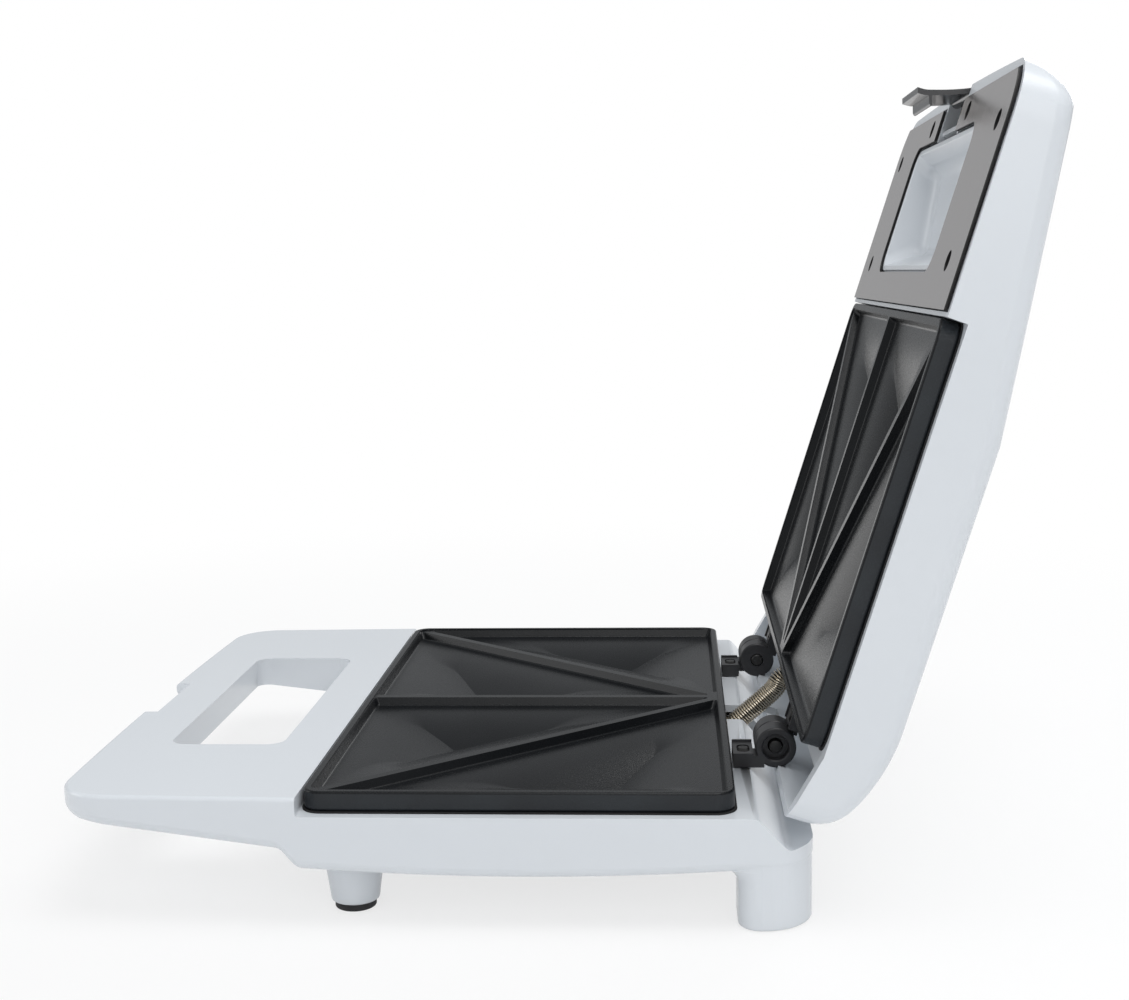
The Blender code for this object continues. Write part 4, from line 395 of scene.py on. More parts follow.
class Effects:
    """Node groups that several finishes share."""

    FLOAT, VECTOR, COLOUR = "NodeSocketFloat", "NodeSocketVector", "NodeSocketColor"

    def __init__(self) -> None:
        """Builds each group once."""
        self.grain = self._grain()
        self.drift = self._drift()
        self.brush = self._brush()

    def _start(self, name: str, inputs: dict[str, object], outputs: dict[str, str]) -> Tree:
        """A new group with its sockets, each input of the kind that its value has."""
        group = bpy.data.node_groups.new(name, "ShaderNodeTree")
        kinds = {3: self.VECTOR, 4: self.COLOUR}
        for key, value in inputs.items():
            kind = self.FLOAT if isinstance(value, float) else kinds[len(value)]
            group.interface.new_socket(name=key, in_out="INPUT", socket_type=kind).default_value = value
        for key, kind in outputs.items():
            group.interface.new_socket(name=key, in_out="OUTPUT", socket_type=kind)
        tree = Tree(group)
        tree.add("start", "NodeGroupInput")
        tree.add("end", "NodeGroupOutput")
        tree.add("place", "ShaderNodeTexCoord")
        return tree

    def _grain(self) -> bpy.types.NodeTree:
        """Fine moulded or sprayed texture: a bump and its height."""
        tree = self._start("moulded grain", {"Scale": 900.0, "Strength": 0.1, "Depth": 0.0001},
                           {"Normal": self.VECTOR, "Height": self.FLOAT})
        tree.add("noise", "ShaderNodeTexNoise", {"Detail": 4.0, "Roughness": 0.55})
        tree.add("bump", "ShaderNodeBump")
        tree.wire("place.Object>noise.Vector start.Scale>noise.Scale start.Strength>bump.Strength "
                  "start.Depth>bump.Distance noise.Fac>bump.Height bump.Normal>end.Normal noise.Fac>end.Height")
        return tree.tree

    def _drift(self) -> bpy.types.NodeTree:
        """A slow change between two colours, with a lighter colour on rounded edges, partly rubbed and partly a
        painted highlight.
        """
        tree = self._start("tint drift", {"Tint": (0.8, 0.8, 0.8, 1), "Other": (0.7, 0.7, 0.7, 1),
                                          "Edge": (0.9, 0.9, 0.9, 1), "Scale": 20.0, "Wear": 0.2},
                           {"Color": self.COLOUR, "Mask": self.FLOAT})
        tree.add("noise", "ShaderNodeTexNoise", {"Detail": 3.0})
        tree.add("spread", "ShaderNodeMapRange", {"From Min": 0.3, "From Max": 0.7})
        tree.add("blend", "ShaderNodeMix", data_type="RGBA")
        # Rounded faces take the lighter Edge colour: partly rubbed, partly a painted highlight.
        tree.add("worn", "ShaderNodeAttribute", attribute_name="worn")
        tree.add("share", "ShaderNodeMath", operation="MULTIPLY")
        tree.add("edge", "ShaderNodeMix", data_type="RGBA")
        tree.wire("place.Object>noise.Vector start.Scale>noise.Scale noise.Fac>spread.Value "
                  "spread.Result>blend.Factor start.Tint>blend.A start.Other>blend.B worn.Fac>share.0 "
                  "start.Wear>share.1 share.Value>edge.Factor blend.Result>edge.A start.Edge>edge.B "
                  "edge.Result>end.Color spread.Result>end.Mask")
        return tree.tree

    def _brush(self) -> bpy.types.NodeTree:
        """Long fine scratches along one direction: a mask and a bump."""
        tree = self._start("brushed lines", {"Stretch": (30.0, 2500.0, 30.0), "Turn": (0.0, 0.0, 0.0),
                                             "Strength": 0.1, "Depth": 0.0001},
                           {"Normal": self.VECTOR, "Mask": self.FLOAT})
        tree.add("turn", "ShaderNodeVectorRotate", rotation_type="EULER_XYZ")
        tree.add("scale", "ShaderNodeVectorMath", operation="MULTIPLY")
        tree.add("noise", "ShaderNodeTexNoise", {"Scale": 1.0, "Detail": 5.0})
        tree.add("bump", "ShaderNodeBump")
        tree.wire("place.Object>turn.Vector start.Turn>turn.Rotation turn.Vector>scale.0 start.Stretch>scale.1 "
                  "scale.Vector>noise.Vector start.Strength>bump.Strength start.Depth>bump.Distance "
                  "noise.Fac>bump.Height bump.Normal>end.Normal noise.Fac>end.Mask")
        return tree.tree


@dataclass(frozen=True)
class Moulded:
    """A moulded or coated finish: a drifting colour, grain in the surface and a lighter colour on its rounded edges,
    partly rubbed and partly a painted highlight.
    """

    name: str
    tint: Triple
    other: Triple
    edge: Triple
    roughness: float
    spread: float = 0.05
    wear: float = 0.25
    drift: float = 18.0
    grain: float = 1400.0
    bump: float = 0.12
    depth: float = 0.00006
    metallic: float = 0.0
    specular: float = 0.5
    coat: float = 0.0
    transmission: float = 0.0

    def make(self, effects: Effects) -> bpy.types.Material:
        """Builds the material."""
        material, tree = blank(self.name)
        tree.add("drift", "ShaderNodeGroup", {"Tint": (*self.tint, 1), "Other": (*self.other, 1),
                                              "Edge": (*self.edge, 1), "Scale": self.drift, "Wear": self.wear},
                 node_tree=effects.drift)
        tree.add("grain", "ShaderNodeGroup", {"Scale": self.grain, "Strength": self.bump, "Depth": self.depth},
                 node_tree=effects.grain)
        tree.add("rough", "ShaderNodeMapRange", {"To Min": self.roughness - self.spread,
                                                 "To Max": self.roughness + self.spread})
        tree.wire("grain.Height>rough.Value drift.Color>shader.Base_Color rough.Result>shader.Roughness "
                  "grain.Normal>shader.Normal")
        tree.set("shader", Metallic=self.metallic, Specular_IOR_Level=self.specular, Coat_Weight=self.coat,
                 Transmission_Weight=self.transmission)
        return material


@dataclass(frozen=True)
class Brushed:
    """A brushed or drawn metal with long fine lines along one direction."""

    name: str
    tint: Triple
    line: Triple
    roughness: float
    spread: float = 0.10
    stretch: tuple[float, float, float] = (40.0, 2600.0, 40.0)
    turn: tuple[float, float, float] = (0.0, 0.0, 0.0)
    bump: float = 0.10
    depth: float = 0.00004

    def make(self, effects: Effects) -> bpy.types.Material:
        """Builds the material."""
        material, tree = blank(self.name)
        tree.add("lines", "ShaderNodeGroup", {"Stretch": self.stretch, "Turn": self.turn, "Strength": self.bump,
                                              "Depth": self.depth}, node_tree=effects.brush)
        tree.add("ramp", "ShaderNodeMix", {"A": (*self.tint, 1), "B": (*self.line, 1)}, data_type="RGBA")
        tree.add("rough", "ShaderNodeMapRange", {"From Min": 0.3, "From Max": 0.7,
                                                 "To Min": self.roughness - self.spread,
                                                 "To Max": self.roughness + self.spread})
        tree.wire("lines.Mask>ramp.Factor lines.Mask>rough.Value ramp.Result>shader.Base_Color "
                  "rough.Result>shader.Roughness lines.Normal>shader.Normal")
        tree.set("shader", Metallic=1.0)
        return material


class Finishes:
    """Every finish of the sandwich maker, by the record's slot or by its own name."""

    def __init__(self) -> None:
        """Builds the shared effects and every finish."""
        effects = Effects()
        open_turn = (DATUM.open_angle, 0.0, 0.0)
        recipes = (
            # The third colour of each moulded finish goes on rounded edges: partly rubbed, partly a painted
            # highlight.
            Moulded("white_plastic", (0.705, 0.735, 0.768), (0.690, 0.722, 0.758), (0.730, 0.755, 0.785), 0.24,
                    spread=0.04, bump=0.05, grain=1800.0, drift=9.0, wear=0.5),
            Moulded("nonstick_coating", (0.006, 0.0068, 0.008), (0.010, 0.011, 0.0125), (0.034, 0.037, 0.043), 0.28,
                    spread=0.08, bump=0.30, grain=2600.0, depth=0.00006, drift=30.0, wear=0.35, specular=0.22),
            Moulded("plate_side_coating", (0.008, 0.010, 0.013), (0.014, 0.018, 0.022), (0.028, 0.033, 0.038), 0.50,
                    spread=0.10, bump=0.55, grain=2200.0, depth=0.00012, drift=60.0, wear=0.35, specular=0.4),
            Moulded("black_plastic", (0.014, 0.014, 0.016), (0.022, 0.022, 0.024), (0.045, 0.045, 0.048), 0.40,
                    bump=0.20, grain=1600.0, drift=40.0, wear=0.4),
            Moulded("smoked_plastic", (0.018, 0.018, 0.020), (0.030, 0.030, 0.032), (0.100, 0.100, 0.104), 0.20,
                    spread=0.03, bump=0.03, grain=900.0, drift=60.0, wear=0.5, specular=0.4),
            Moulded("black_rubber", (0.010, 0.010, 0.012), (0.016, 0.016, 0.018), (0.030, 0.030, 0.032), 0.70,
                    bump=0.30, grain=1500.0, drift=80.0),
            Moulded("white_ceramic", (0.78, 0.76, 0.72), (0.72, 0.70, 0.66), (0.84, 0.82, 0.78), 0.50, drift=120.0),
            Moulded("glass_sleeve", (0.70, 0.67, 0.58), (0.62, 0.59, 0.50), (0.76, 0.73, 0.64), 0.65, bump=0.4,
                    grain=2400.0, drift=160.0),
            Moulded("red_lens", (0.52, 0.020, 0.014), (0.40, 0.014, 0.010), (0.60, 0.06, 0.05), 0.12, bump=0.04,
                    coat=0.5, transmission=0.1),
            Moulded("green_lens", (0.030, 0.36, 0.070), (0.020, 0.27, 0.050), (0.08, 0.45, 0.12), 0.12, bump=0.04,
                    coat=0.5, transmission=0.1),
            Moulded("lamp_glass", (0.80, 0.80, 0.78), (0.72, 0.72, 0.70), (0.85, 0.85, 0.85), 0.08, bump=0.03,
                    transmission=0.8),
            # Painted shade: a near-black finish for thin pieces set in gaps and hollows where shade falls.
            Moulded("painted_gap_shade", (0.008, 0.008, 0.009), (0.012, 0.012, 0.013), (0.012, 0.012, 0.013), 0.80),
            # Blackened steel for the pins and screws; on the steel plate's cut edges the same finish is painted
            # shade.
            Moulded("blackened_steel_and_gap_shade", (0.012, 0.012, 0.012), (0.020, 0.019, 0.018), (0.05, 0.05, 0.05), 0.45,
                    metallic=0.3, drift=150.0),
            Brushed("brushed_steel", (0.585, 0.55, 0.535), (0.63, 0.597, 0.582), 0.24, spread=0.03,
                    stretch=(700.0, 4.0, 4.0), turn=open_turn, bump=0.012),
            Brushed("bright_steel", (0.56, 0.53, 0.48), (0.72, 0.69, 0.63), 0.22, spread=0.06,
                    stretch=(900.0, 900.0, 900.0), bump=0.05),
            Brushed("straw_steel", (0.42, 0.37, 0.29), (0.66, 0.60, 0.50), 0.26, spread=0.06,
                    stretch=(700.0, 700.0, 700.0), bump=0.05),
            Brushed("aluminised_sheet", (0.46, 0.46, 0.47), (0.60, 0.60, 0.60), 0.38, spread=0.08,
                    stretch=(60.0, 900.0, 900.0), bump=0.15),
        )
        self.made = {recipe.name: recipe.make(effects) for recipe in recipes}

    def __getitem__(self, name: str) -> bpy.types.Material:
        """The finish of that name."""
        return self.made[name]


class Workshop:
    """Turns solids into finished pieces that ride on the part's bodies."""

    def __init__(self, finishes: Finishes) -> None:
        """Keeps the finishes for every piece."""
        self.finishes = finishes

    def deliver(self, name: str, shape: Solid, finish: str, body: Body, replaces: Sequence[str] = (),
                seat: Optional[Matrix] = None, slot: Optional[str] = None,
                blend: Optional[tuple[Vector, Vector]] = None,
                second: Optional[tuple[str, Callable[[bmesh.types.BMFace], bool]]] = None) -> bpy.types.Object:
        """Makes a piece of a solid, which is used up.

        The seat leads from the solid's own frame to the world. The slot, the record's name where it isn't the
        finish's own, is not used. A blend, the start and end of the stretch between base and lid, is not used for its
        points: a piece with one is only baked into the world frame, unattached and without even shading. The second
        finish comes with a test for the faces that get it.
        """
        if seat is not None:
            shape.transform(seat)
        if second:
            for face in shape.faces:
                face.material_index = 1 if second[1](face) else 0
        bmesh.ops.recalc_face_normals(shape, faces=shape.faces)
        made = _loose(shape, name)
        made.data.name = name
        made.data.materials.append(self.finishes[finish])
        if second:
            made.data.materials.append(self.finishes[second[0]])
        made.data.shade_smooth()
        made.data.set_sharp_from_angle(angle=SHADE_SHARP_FROM)
        if blend:
            tuple(blend[0])
            tuple(blend[1])
            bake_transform(made)
        else:
            even = made.modifiers.new("even shading", "WEIGHTED_NORMAL")
            even.keep_sharp = True
            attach(made, body.value)
        slot or finish
        if replaces:
            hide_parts(*replaces)
        log.info("%s: %d faces on %s", name, len(made.data.polygons), body.value)
        return made


class Maker:
    """A sub-assembly that hands its pieces to the workshop."""

    def __init__(self, workshop: Workshop) -> None:
        """Keeps the workshop."""
        self.workshop = workshop


# Base


@dataclass(frozen=True)
class BaseSizes:
    """The base's outline and section. Depths are below the mating plane, in metres."""

    half: float = 0.1138
    handle_half: float = 0.1118
    depth: float = 0.126
    handle_reach: float = 0.0760
    bow: float = 0.0015
    corner: float = 0.0170
    rear: float = 0.0227
    rear_corner: float = 0.0150
    top: float = 0.0009
    rim: float = 0.0064
    tub_end: float = 0.0226
    belly: float = 0.0022
    tip: float = 0.0098
    root: float = 0.0166
    nose_length: float = 0.0120
    nose_drop: float = 0.0060
    step: float = 0.0075
    edge_gap: float = 0.0008
    wall: float = 0.0025
    top_round: float = 0.0013
    under_round: float = 0.0032
    deck_flat: float = 0.0060
    valley_start: float = 0.0150
    valley_drop: float = 0.0166
    valley_rear: float = 0.0146
    deck_rounds: tuple = (0, 0.0008, 0.0022, 0.0030, 0, 0)
    window_half: float = 0.0092
    window_front: float = -0.0072
    window_rear: float = 0.0138
    gland_half: float = 0.0041
    gland_low: float = -0.0202
    gland_high: float = -0.0170
    gland_corner: float = 0.0016
    gland_length: float = 0.008
    gland_in: float = 0.006
    screw_x: float = 0.058
    screw_y: float = 0.0042
    screw_bore: float = 0.0017
    edge_round: float = 0.0009
    over: float = 0.004
    past: float = 0.010
    near: float = 0.002
    seat_half: float = 0.1072
    grip_from: float = 0.015
    grip_to: float = 0.065

    @property
    def front(self) -> float:
        """The plate's front edge."""
        return -self.depth

    @property
    def end(self) -> float:
        """The handle's front end."""
        return -self.depth - self.handle_reach

    def under(self, y: float) -> float:
        """Height of the underside at a station along Y, from the mating plane."""
        nose = self.end + self.nose_length
        step = self.front - self.step
        if y < nose:
            share = min(max((y - self.end) / self.nose_length, 0.0), 1.0)
            return -(self.nose_drop + (self.tip - self.nose_drop) * math.sqrt(1 - (1 - share) ** 2))
        if y < step:
            return -(self.tip + (self.root - self.tip) * (y - nose) / (step - nose))
        if y < self.front:
            share = (y - step) / self.step
            return -(self.root + (self.tub_end - self.root) * share ** 2 * (3 - 2 * share))
        if y < 0:
            share = (y - self.front) / self.depth
            return -(self.tub_end + self.belly * 4 * share * (1 - share))
        return -self.tub_end

    def side(self) -> list[tuple[float, float]]:
        """The right half of the plan, from the middle of the front to the middle of the rear."""
        inner = self.handle_half - self.corner
        corner_y = self.end + self.bow + self.corner
        points = [(inner * share, self.end + self.bow * share ** 2) for share in
                  [(k + 0.5) / 12 for k in range(12)]]
        points += [(inner + self.corner * math.sin(a), corner_y - self.corner * math.cos(a)) for a in arc(14)]
        stations = [corner_y + (self.front - self.step - corner_y) * k / 6 for k in range(1, 6)]
        stations += [self.front - self.step + self.step * k / 8 for k in range(9)]
        for y in stations:
            share = (y - corner_y) / (self.front - corner_y)
            points.append((self.handle_half + (self.half - self.handle_half) * share, y))
        points += [(self.half, self.front + self.depth * k / 16) for k in range(1, 17)]
        rear_y = self.rear - self.rear_corner
        inner = self.half - self.rear_corner
        points += [(inner + self.rear_corner * math.cos(a), rear_y + self.rear_corner * math.sin(a))
                   for a in arc(12)]
        points += [(inner * (1 - (k + 0.5) / 8), self.rear) for k in range(8)]
        return points

    def plan(self) -> Plan:
        """The whole plan, anticlockwise, so that point k mirrors point -1-k."""
        side = self.side()
        return side + [(-x, y) for x, y in reversed(side)]


@dataclass(frozen=True)
class GripSizes:
    """The finger opening and the latch notch of the base handle."""

    half: float = 0.0590
    front: float = 0.0215
    rear: float = 0.0587
    corner: float = 0.0056
    notch_half: float = 0.0195
    notch_depth: float = 0.0052
    notch_down: float = 0.014
    notch_lean: float = math.radians(19.0)


@dataclass(frozen=True)
class LegSizes:
    """The rear legs."""

    width: float = 0.0200
    front: float = 0.0005
    toe: float = 0.0065
    corner: float = 0.0150
    inset: float = 0.0002
    edge: float = 0.0010
    fillet: float = 0.0050
    inner_rounds: tuple[float, float] = (0.0006, 0.0030)
    inner_share: float = 0.6


@dataclass(frozen=True)
class FootSizes:
    """The front feet and the panel they stand on."""

    x: float = 0.0950
    back: float = 0.0124
    top_radius: float = 0.0093
    bottom_radius: float = 0.0072
    flare: tuple = ((-0.0003, -0.0012), (0.0002, -0.0004), (0.0010, 0.0004))
    pad_radius: float = 0.0062
    pad_height: float = 0.0020
    pad_edge: float = 0.0005
    edge: float = 0.0008
    panel: float = 0.0022
    panel_rear: float = 0.0040
    fit: float = 0.0003
    vents: int = 7
    vent_length: float = 0.0300
    vent_width: float = 0.0022
    vent_pitch: float = 0.0060
    screw_x: float = 0.1088
    screw_shares: tuple[float, float] = (0.72, 0.16)
    screw_hole: float = 0.0015
    screw_head: float = 0.0022
    screw_fit: float = 0.0002
    over: float = -0.010
    cone_height: float = 0.014
    screw_sink: float = 0.0001
    cross: tuple[float, float] = (0.0012, 0.00022)
    cross_depth: float = 0.0006


class Base(Maker):
    """Handle, tub, rear deck and legs in one white moulding, its bottom panel and its feet."""

    sizes = BaseSizes()
    grip = GripSizes()
    leg = LegSizes()
    foot = FootSizes()

    def build(self) -> None:
        """Makes every piece of the base's own plastic."""
        self.moulding()
        self.bottom_panel()
        for side, tag in ((-1, "left"), (1, "right")):
            self.pad(side, tag)
        for number in range(1, 5):
            self.cover_screw(f"cover_screw_{number}")

    def _form(self) -> Solid:
        """The outer form with a flat top, rounded all round above and below."""
        s = self.sizes
        plan = s.plan()
        rings = []
        for a in arc(5):
            inset = s.under_round * (1 - math.sin(a))
            rings.append([Vector((x, y, s.under(v) + s.under_round * (1 - math.cos(a))))
                          for (x, y), (u, v) in zip(shrunk(plan, inset), plan)])
        for a in arc(4):
            inset = s.top_round * (1 - math.cos(a))
            rings.append(level(shrunk(plan, inset), -s.top - s.top_round * (1 - math.sin(a))))
        shape = skin(rings)
        self._rule_underside(shape, [(x, y) for x, y in shrunk(plan, s.under_round)])
        return shape

    @staticmethod
    def _rule_underside(shape: Solid, ring: Plan) -> None:
        """Splits the end face below into strips across X, so that it follows the curve of the underside."""
        shape.verts.ensure_lookup_table()
        count = len(ring)
        first = shape.verts[:count]
        for k in range(1, count // 2 - 1):
            bmesh.ops.connect_verts(shape, verts=[first[k], first[count - 1 - k]])

    def _cavity(self) -> Solid:
        """The hollow under handle and tub, with sleeves left round the finger opening and the notch."""
        s, f = self.sizes, self.foot
        rear = -f.panel_rear
        inner = [(x, y) for x, y in shrunk(s.plan(), s.wall) if y < rear]
        right = [p for p in inner if p[0] > 0]
        left = [p for p in inner if p[0] < 0]
        half = s.half - s.wall
        plan = right + [(half, rear), (-half, rear)] + left
        low = -s.tub_end - s.belly - 2 * s.wall
        handle_part = prism(plan, low, -s.top - s.wall)
        step_y = s.front - s.edge_gap - s.wall
        drop = block((-s.half, step_y, -s.rim - s.wall), (s.half, s.rear, 0.0))
        sleeve = prism(self._grip_plan(s.wall), low - s.wall, s.wall)
        side = self.grip.notch_half + s.wall
        notch = block((-side, s.end - s.wall, low - s.wall),
                      (side, s.end + self.grip.notch_depth + 2 * s.wall, s.wall))
        return carve(handle_part, [drop, sleeve, notch], Carving.REMOVE)

    def _grip_plan(self, grow: float = 0.0) -> Plan:
        """Plan of the finger opening."""
        g, end = self.grip, self.sizes.end
        return rectangle(-g.half - grow, g.half + grow, end + g.front - grow, end + g.rear + grow,
                         g.corner + grow, 10)

    def _leg(self, side: int) -> Solid:
        """One rear leg, with a rounded lower edge and a fillet where it meets the tub."""
        s, leg = self.sizes, self.leg
        outer, rear = s.half - leg.inset, s.rear - leg.inset
        inner = outer - leg.width
        corners = [(inner, rear), (inner, leg.front), (outer, leg.front), (outer, rear)]
        plan = rounded_plan(corners, (*leg.inner_rounds, leg.toe, leg.corner), 8)
        floor = -DATUM.mating
        under = -s.tub_end
        rings = []
        for a in arc(4):
            rings.append(level(shrunk(plan, leg.edge * (1 - math.sin(a))), floor + leg.edge * (1 - math.cos(a))))
        for a in arc(8):
            reach = leg.fillet * (1 - math.cos(a))
            z = under - leg.fillet * (1 - math.sin(a))
            middle = (leg.front + leg.toe)
            rings.append([Vector((x - reach * max(0.0, min(1.0, (inner + leg.toe - x) / leg.toe)) * leg.inner_share,
                                  y - reach * max(0.0, min(1.0, (middle - y) / leg.toe)), z)) for x, y in plan])
        rings.append([Vector((p.x, p.y, -s.valley_drop - s.wall)) for p in rings[-1]])
        trim = block((-1, -1, -1), (s.half - leg.inset, s.rear - leg.inset, 1))
        shape = carve(skin(rings), [trim], Carving.KEEP)
        if side < 0:
            mirror(shape, -1, 1, 1)
        return shape

    def _deck_cut(self) -> Solid:
        """What is cut away above the tub's rim, the deck and the valley."""
        s = self.sizes
        front = s.front - s.edge_gap
        corners = [(front, s.past), (front, -s.rim), (s.deck_flat, -s.rim), (s.valley_start, -s.valley_drop),
                   (s.rear + s.past, -s.valley_rear), (s.rear + s.past, s.past)]
        return prism(rounded_plan(corners, s.deck_rounds, 6), -s.half - s.past, s.half + s.past, "X")

    def _notch_cut(self) -> Solid:
        """The latch notch, whose inner face leans as the latch does."""
        s, g = self.sizes, self.grip
        floor = s.end + g.notch_depth
        lean = math.tan(g.notch_lean)
        up, down = s.over, g.notch_down
        plan = [(s.end - up, up), (s.end - up, -down), (floor + lean * (down - s.top), -down),
                (floor - lean * up, up)]
        return prism(plan, -g.notch_half, g.notch_half, "X")

    def moulding(self) -> None:
        """The white moulding."""
        s = self.sizes
        shape = self._form()
        shape = carve(shape, [self._deck_cut()], Carving.REMOVE)
        shape = carve(shape, [self._leg(-1), self._leg(1)], Carving.ADD)
        grip = prism(self._grip_plan(), -3 * s.past, s.past)
        opening = prism(PlateSizes().seat(), -s.rim - 2 * s.wall, s.past)
        rear_hollow = block((-s.half + s.rear_corner, -self.foot.panel_rear - s.wall, -s.tub_end + s.wall),
                            (s.half - s.rear_corner, s.deck_flat, -s.rim - s.wall))
        window = block((-s.window_half, s.window_front, -s.tub_end + s.wall), (s.window_half, s.window_rear, s.past))
        gland = prism(rectangle(-s.gland_half, s.gland_half, s.gland_low, s.gland_high, s.gland_corner), 0, 1)
        gland.transform(Matrix(((1, 0, 0, 0), (0, 0, 1, 0), (0, 1, 0, 0), (0, 0, 0, 1)))
                        @ Matrix.Diagonal((1, 1, s.gland_length, 1)))
        gland.transform(Matrix.Translation((0, s.rear - s.gland_in, 0)))
        bmesh.ops.recalc_face_normals(gland, faces=gland.faces)
        screws = [drill(s.screw_bore, -s.rim - 2 * s.wall, s.over, (side * s.screw_x, s.screw_y, 0))
                  for side in (-1, 1)]
        shape = carve(shape, [self._cavity(), rear_hollow, opening, grip, self._notch_cut(), window, gland, *screws],
                      Carving.REMOVE)

        def outside(middle: Vector) -> bool:
            """Whether an edge is one that the eye meets from above."""
            near_grip = s.end + s.grip_from < middle.y < s.end + s.grip_to
            if middle.z < -s.tub_end + s.near and not near_grip:
                return False
            in_seat = abs(middle.x) < s.seat_half and s.front + s.near < middle.y < -s.near
            return not in_seat

        round_edges(shape, s.edge_round, 3, outside)
        self.workshop.deliver("base_moulding", shape, "white_plastic", Body.BASE, ("base_housing",), DATUM.base())

    def bottom_panel(self) -> None:
        """The tub's bottom panel with its vents and the two foot cones."""
        s, f = self.sizes, self.foot
        half = s.half - s.wall - f.fit
        first, last = s.front + f.fit, -f.panel_rear - f.fit
        rings = []
        for k in range(17):
            y = first + (last - first) * k / 16
            z = s.under(y)
            rings.append([Vector((-half, y, z)), Vector((half, y, z)), Vector((half, y, z + f.panel)),
                          Vector((-half, y, z + f.panel))])
        shape = skin(rings)
        cones = []
        for side in (-1, 1):
            y = s.front + f.back
            top = s.under(y) + DATUM.mating
            low = f.pad_height + f.fit
            slope = (f.top_radius - f.bottom_radius) / (top - low)
            profile = [(0, low), (f.bottom_radius - f.edge, low)]
            profile += [(f.bottom_radius - f.edge * (1 - math.sin(a)) + slope * f.edge,
                         low + f.edge * (1 - math.cos(a))) for a in arc(4)[1:]]
            profile += [(f.top_radius + out, top + up) for out, up in f.flare]
            profile += [(f.top_radius, top + f.panel / 2), (0, top + f.panel / 2)]
            cones.append(lathe(profile, (side * f.x, y, -DATUM.mating), steps=64))
        shape = carve(shape, cones, Carving.ADD)
        cuts = []
        for k in range(f.vents):
            y = s.front / 2 + (k - (f.vents - 1) / 2) * f.vent_pitch
            cuts.append(prism(rectangle(-f.vent_length / 2, f.vent_length / 2, y - f.vent_width / 2,
                                        y + f.vent_width / 2, f.vent_width / 2 - 1e-5, 6), -DATUM.mating, f.over))
        for side in (-1, 1):
            for share in f.screw_shares:
                y = s.front * share
                face = s.under(y)
                deep = face + f.screw_head - f.screw_hole
                cuts.append(lathe([(f.screw_head, face - 0.002), (f.screw_head, face + f.screw_fit),
                                   (f.screw_hole, deep + f.screw_fit), (f.screw_hole, f.over)],
                                  (side * f.screw_x, y, 0), steps=24))
        shape = carve(shape, cuts, Carving.REMOVE)
        round_edges(shape, FIT, 2, lambda middle: middle.z < s.under(middle.y) + f.panel / 2
                    and middle.z > -DATUM.mating + f.cone_height)
        self.workshop.deliver("bottom_panel", shape, "white_plastic", Body.BASE, ("base_bottom_cover",), DATUM.base())

    def cover_screw(self, node: str) -> None:
        """A countersunk screw whose head is level with the panel."""
        f = self.foot
        low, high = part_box(node)
        x, y = (low.x + high.x) / 2, (low.y + high.y) / 2
        face = DATUM.mating + self.sizes.under(y - DATUM.rear) + f.screw_sink
        head, shank, deep = f.screw_head - f.screw_fit, f.screw_hole - FIT, f.screw_head - f.screw_hole
        shape = lathe([(head, face), (head, face + f.screw_fit), (shank, face + deep), (shank, high.z)], (x, y, 0),
                      steps=32)
        cross = [block((x - u, y - v, face - 0.001), (x + u, y + v, face + f.cross_depth))
                 for u, v in (f.cross, reversed(f.cross))]
        shape = carve(shape, cross, Carving.REMOVE)
        self.workshop.deliver("countersunk_" + node, shape, "bright_steel", Body.BASE, (node,))

    def pad(self, side: int, tag: str) -> None:
        """A rubber pad with a rounded lower edge."""
        f = self.foot
        edge = f.pad_edge
        profile = [(0, 0), (f.pad_radius - edge, 0)]
        profile += rounded_start(f.pad_radius, 0, edge)
        profile += [(f.pad_radius, f.pad_height), (0, f.pad_height)]
        shape = lathe(profile, (side * f.x, DATUM.rear + self.sizes.front + f.back, 0))
        self.workshop.deliver("rubber_pad_" + tag, shape, "black_rubber", Body.BASE, ("front_foot_pad_" + tag,))


# Cooking plates


@dataclass(frozen=True)
class PlateSizes:
    """One cast cooking plate, from its rim's top plane and its rear edge."""

    width: float = 0.220
    depth: float = 0.126
    corner: float = 0.0060
    rim_height: float = 0.0058
    ledge: float = 0.0012
    line_out: float = 0.0006
    line_height: float = 0.0004
    skirt_inset: float = 0.0044
    skirt_drop: float = 0.0085
    rim: float = 0.0022
    rib_half: float = 0.0013
    rib_low: float = 0.0006
    wall_depth: float = 0.0034
    pocket_depth: float = 0.0104
    draft: float = 0.0010
    foot_round: float = 0.0009
    pocket_corner: float = 0.0010
    bowl: float = 0.0052
    crease_share: float = 0.66
    slope_power: float = 1.75
    floor_drop: float = 0.0118
    boss_radius: float = 0.0040
    boss_drop: float = 0.0186
    bosses: tuple = ((0.0, 0.18), (0.0, 0.845), (-0.5, 0.5), (0.5, 0.5))
    chamfer: float = 0.0007
    seat_inset: float = 0.0040
    thermostat_pad: Triple = (0.0085, -0.0116, -0.0100)
    thermostat_place: Triple = (0.0297, -0.05922, 0)
    rib_round: float = 0.0005
    rib_in: float = 0.0012
    band_in: float = 0.0016
    band_top: float = 0.0006
    mouth: tuple[float, float] = (-0.0008, -0.004)
    reach_share: float = 0.985
    bowl_gain: float = 1.4
    least_corner: float = 0.00012

    def plan(self, inset: float, steps: int = 8) -> Plan:
        """The plate's outline at an inset from its rim."""
        half = self.width / 2 - inset
        return rectangle(-half, half, -self.depth + inset, -inset, max(self.corner - inset, 0.0018), steps)

    def seat(self) -> Plan:
        """Outline of the opening that the plate sits in."""
        return self.plan(self.seat_inset)


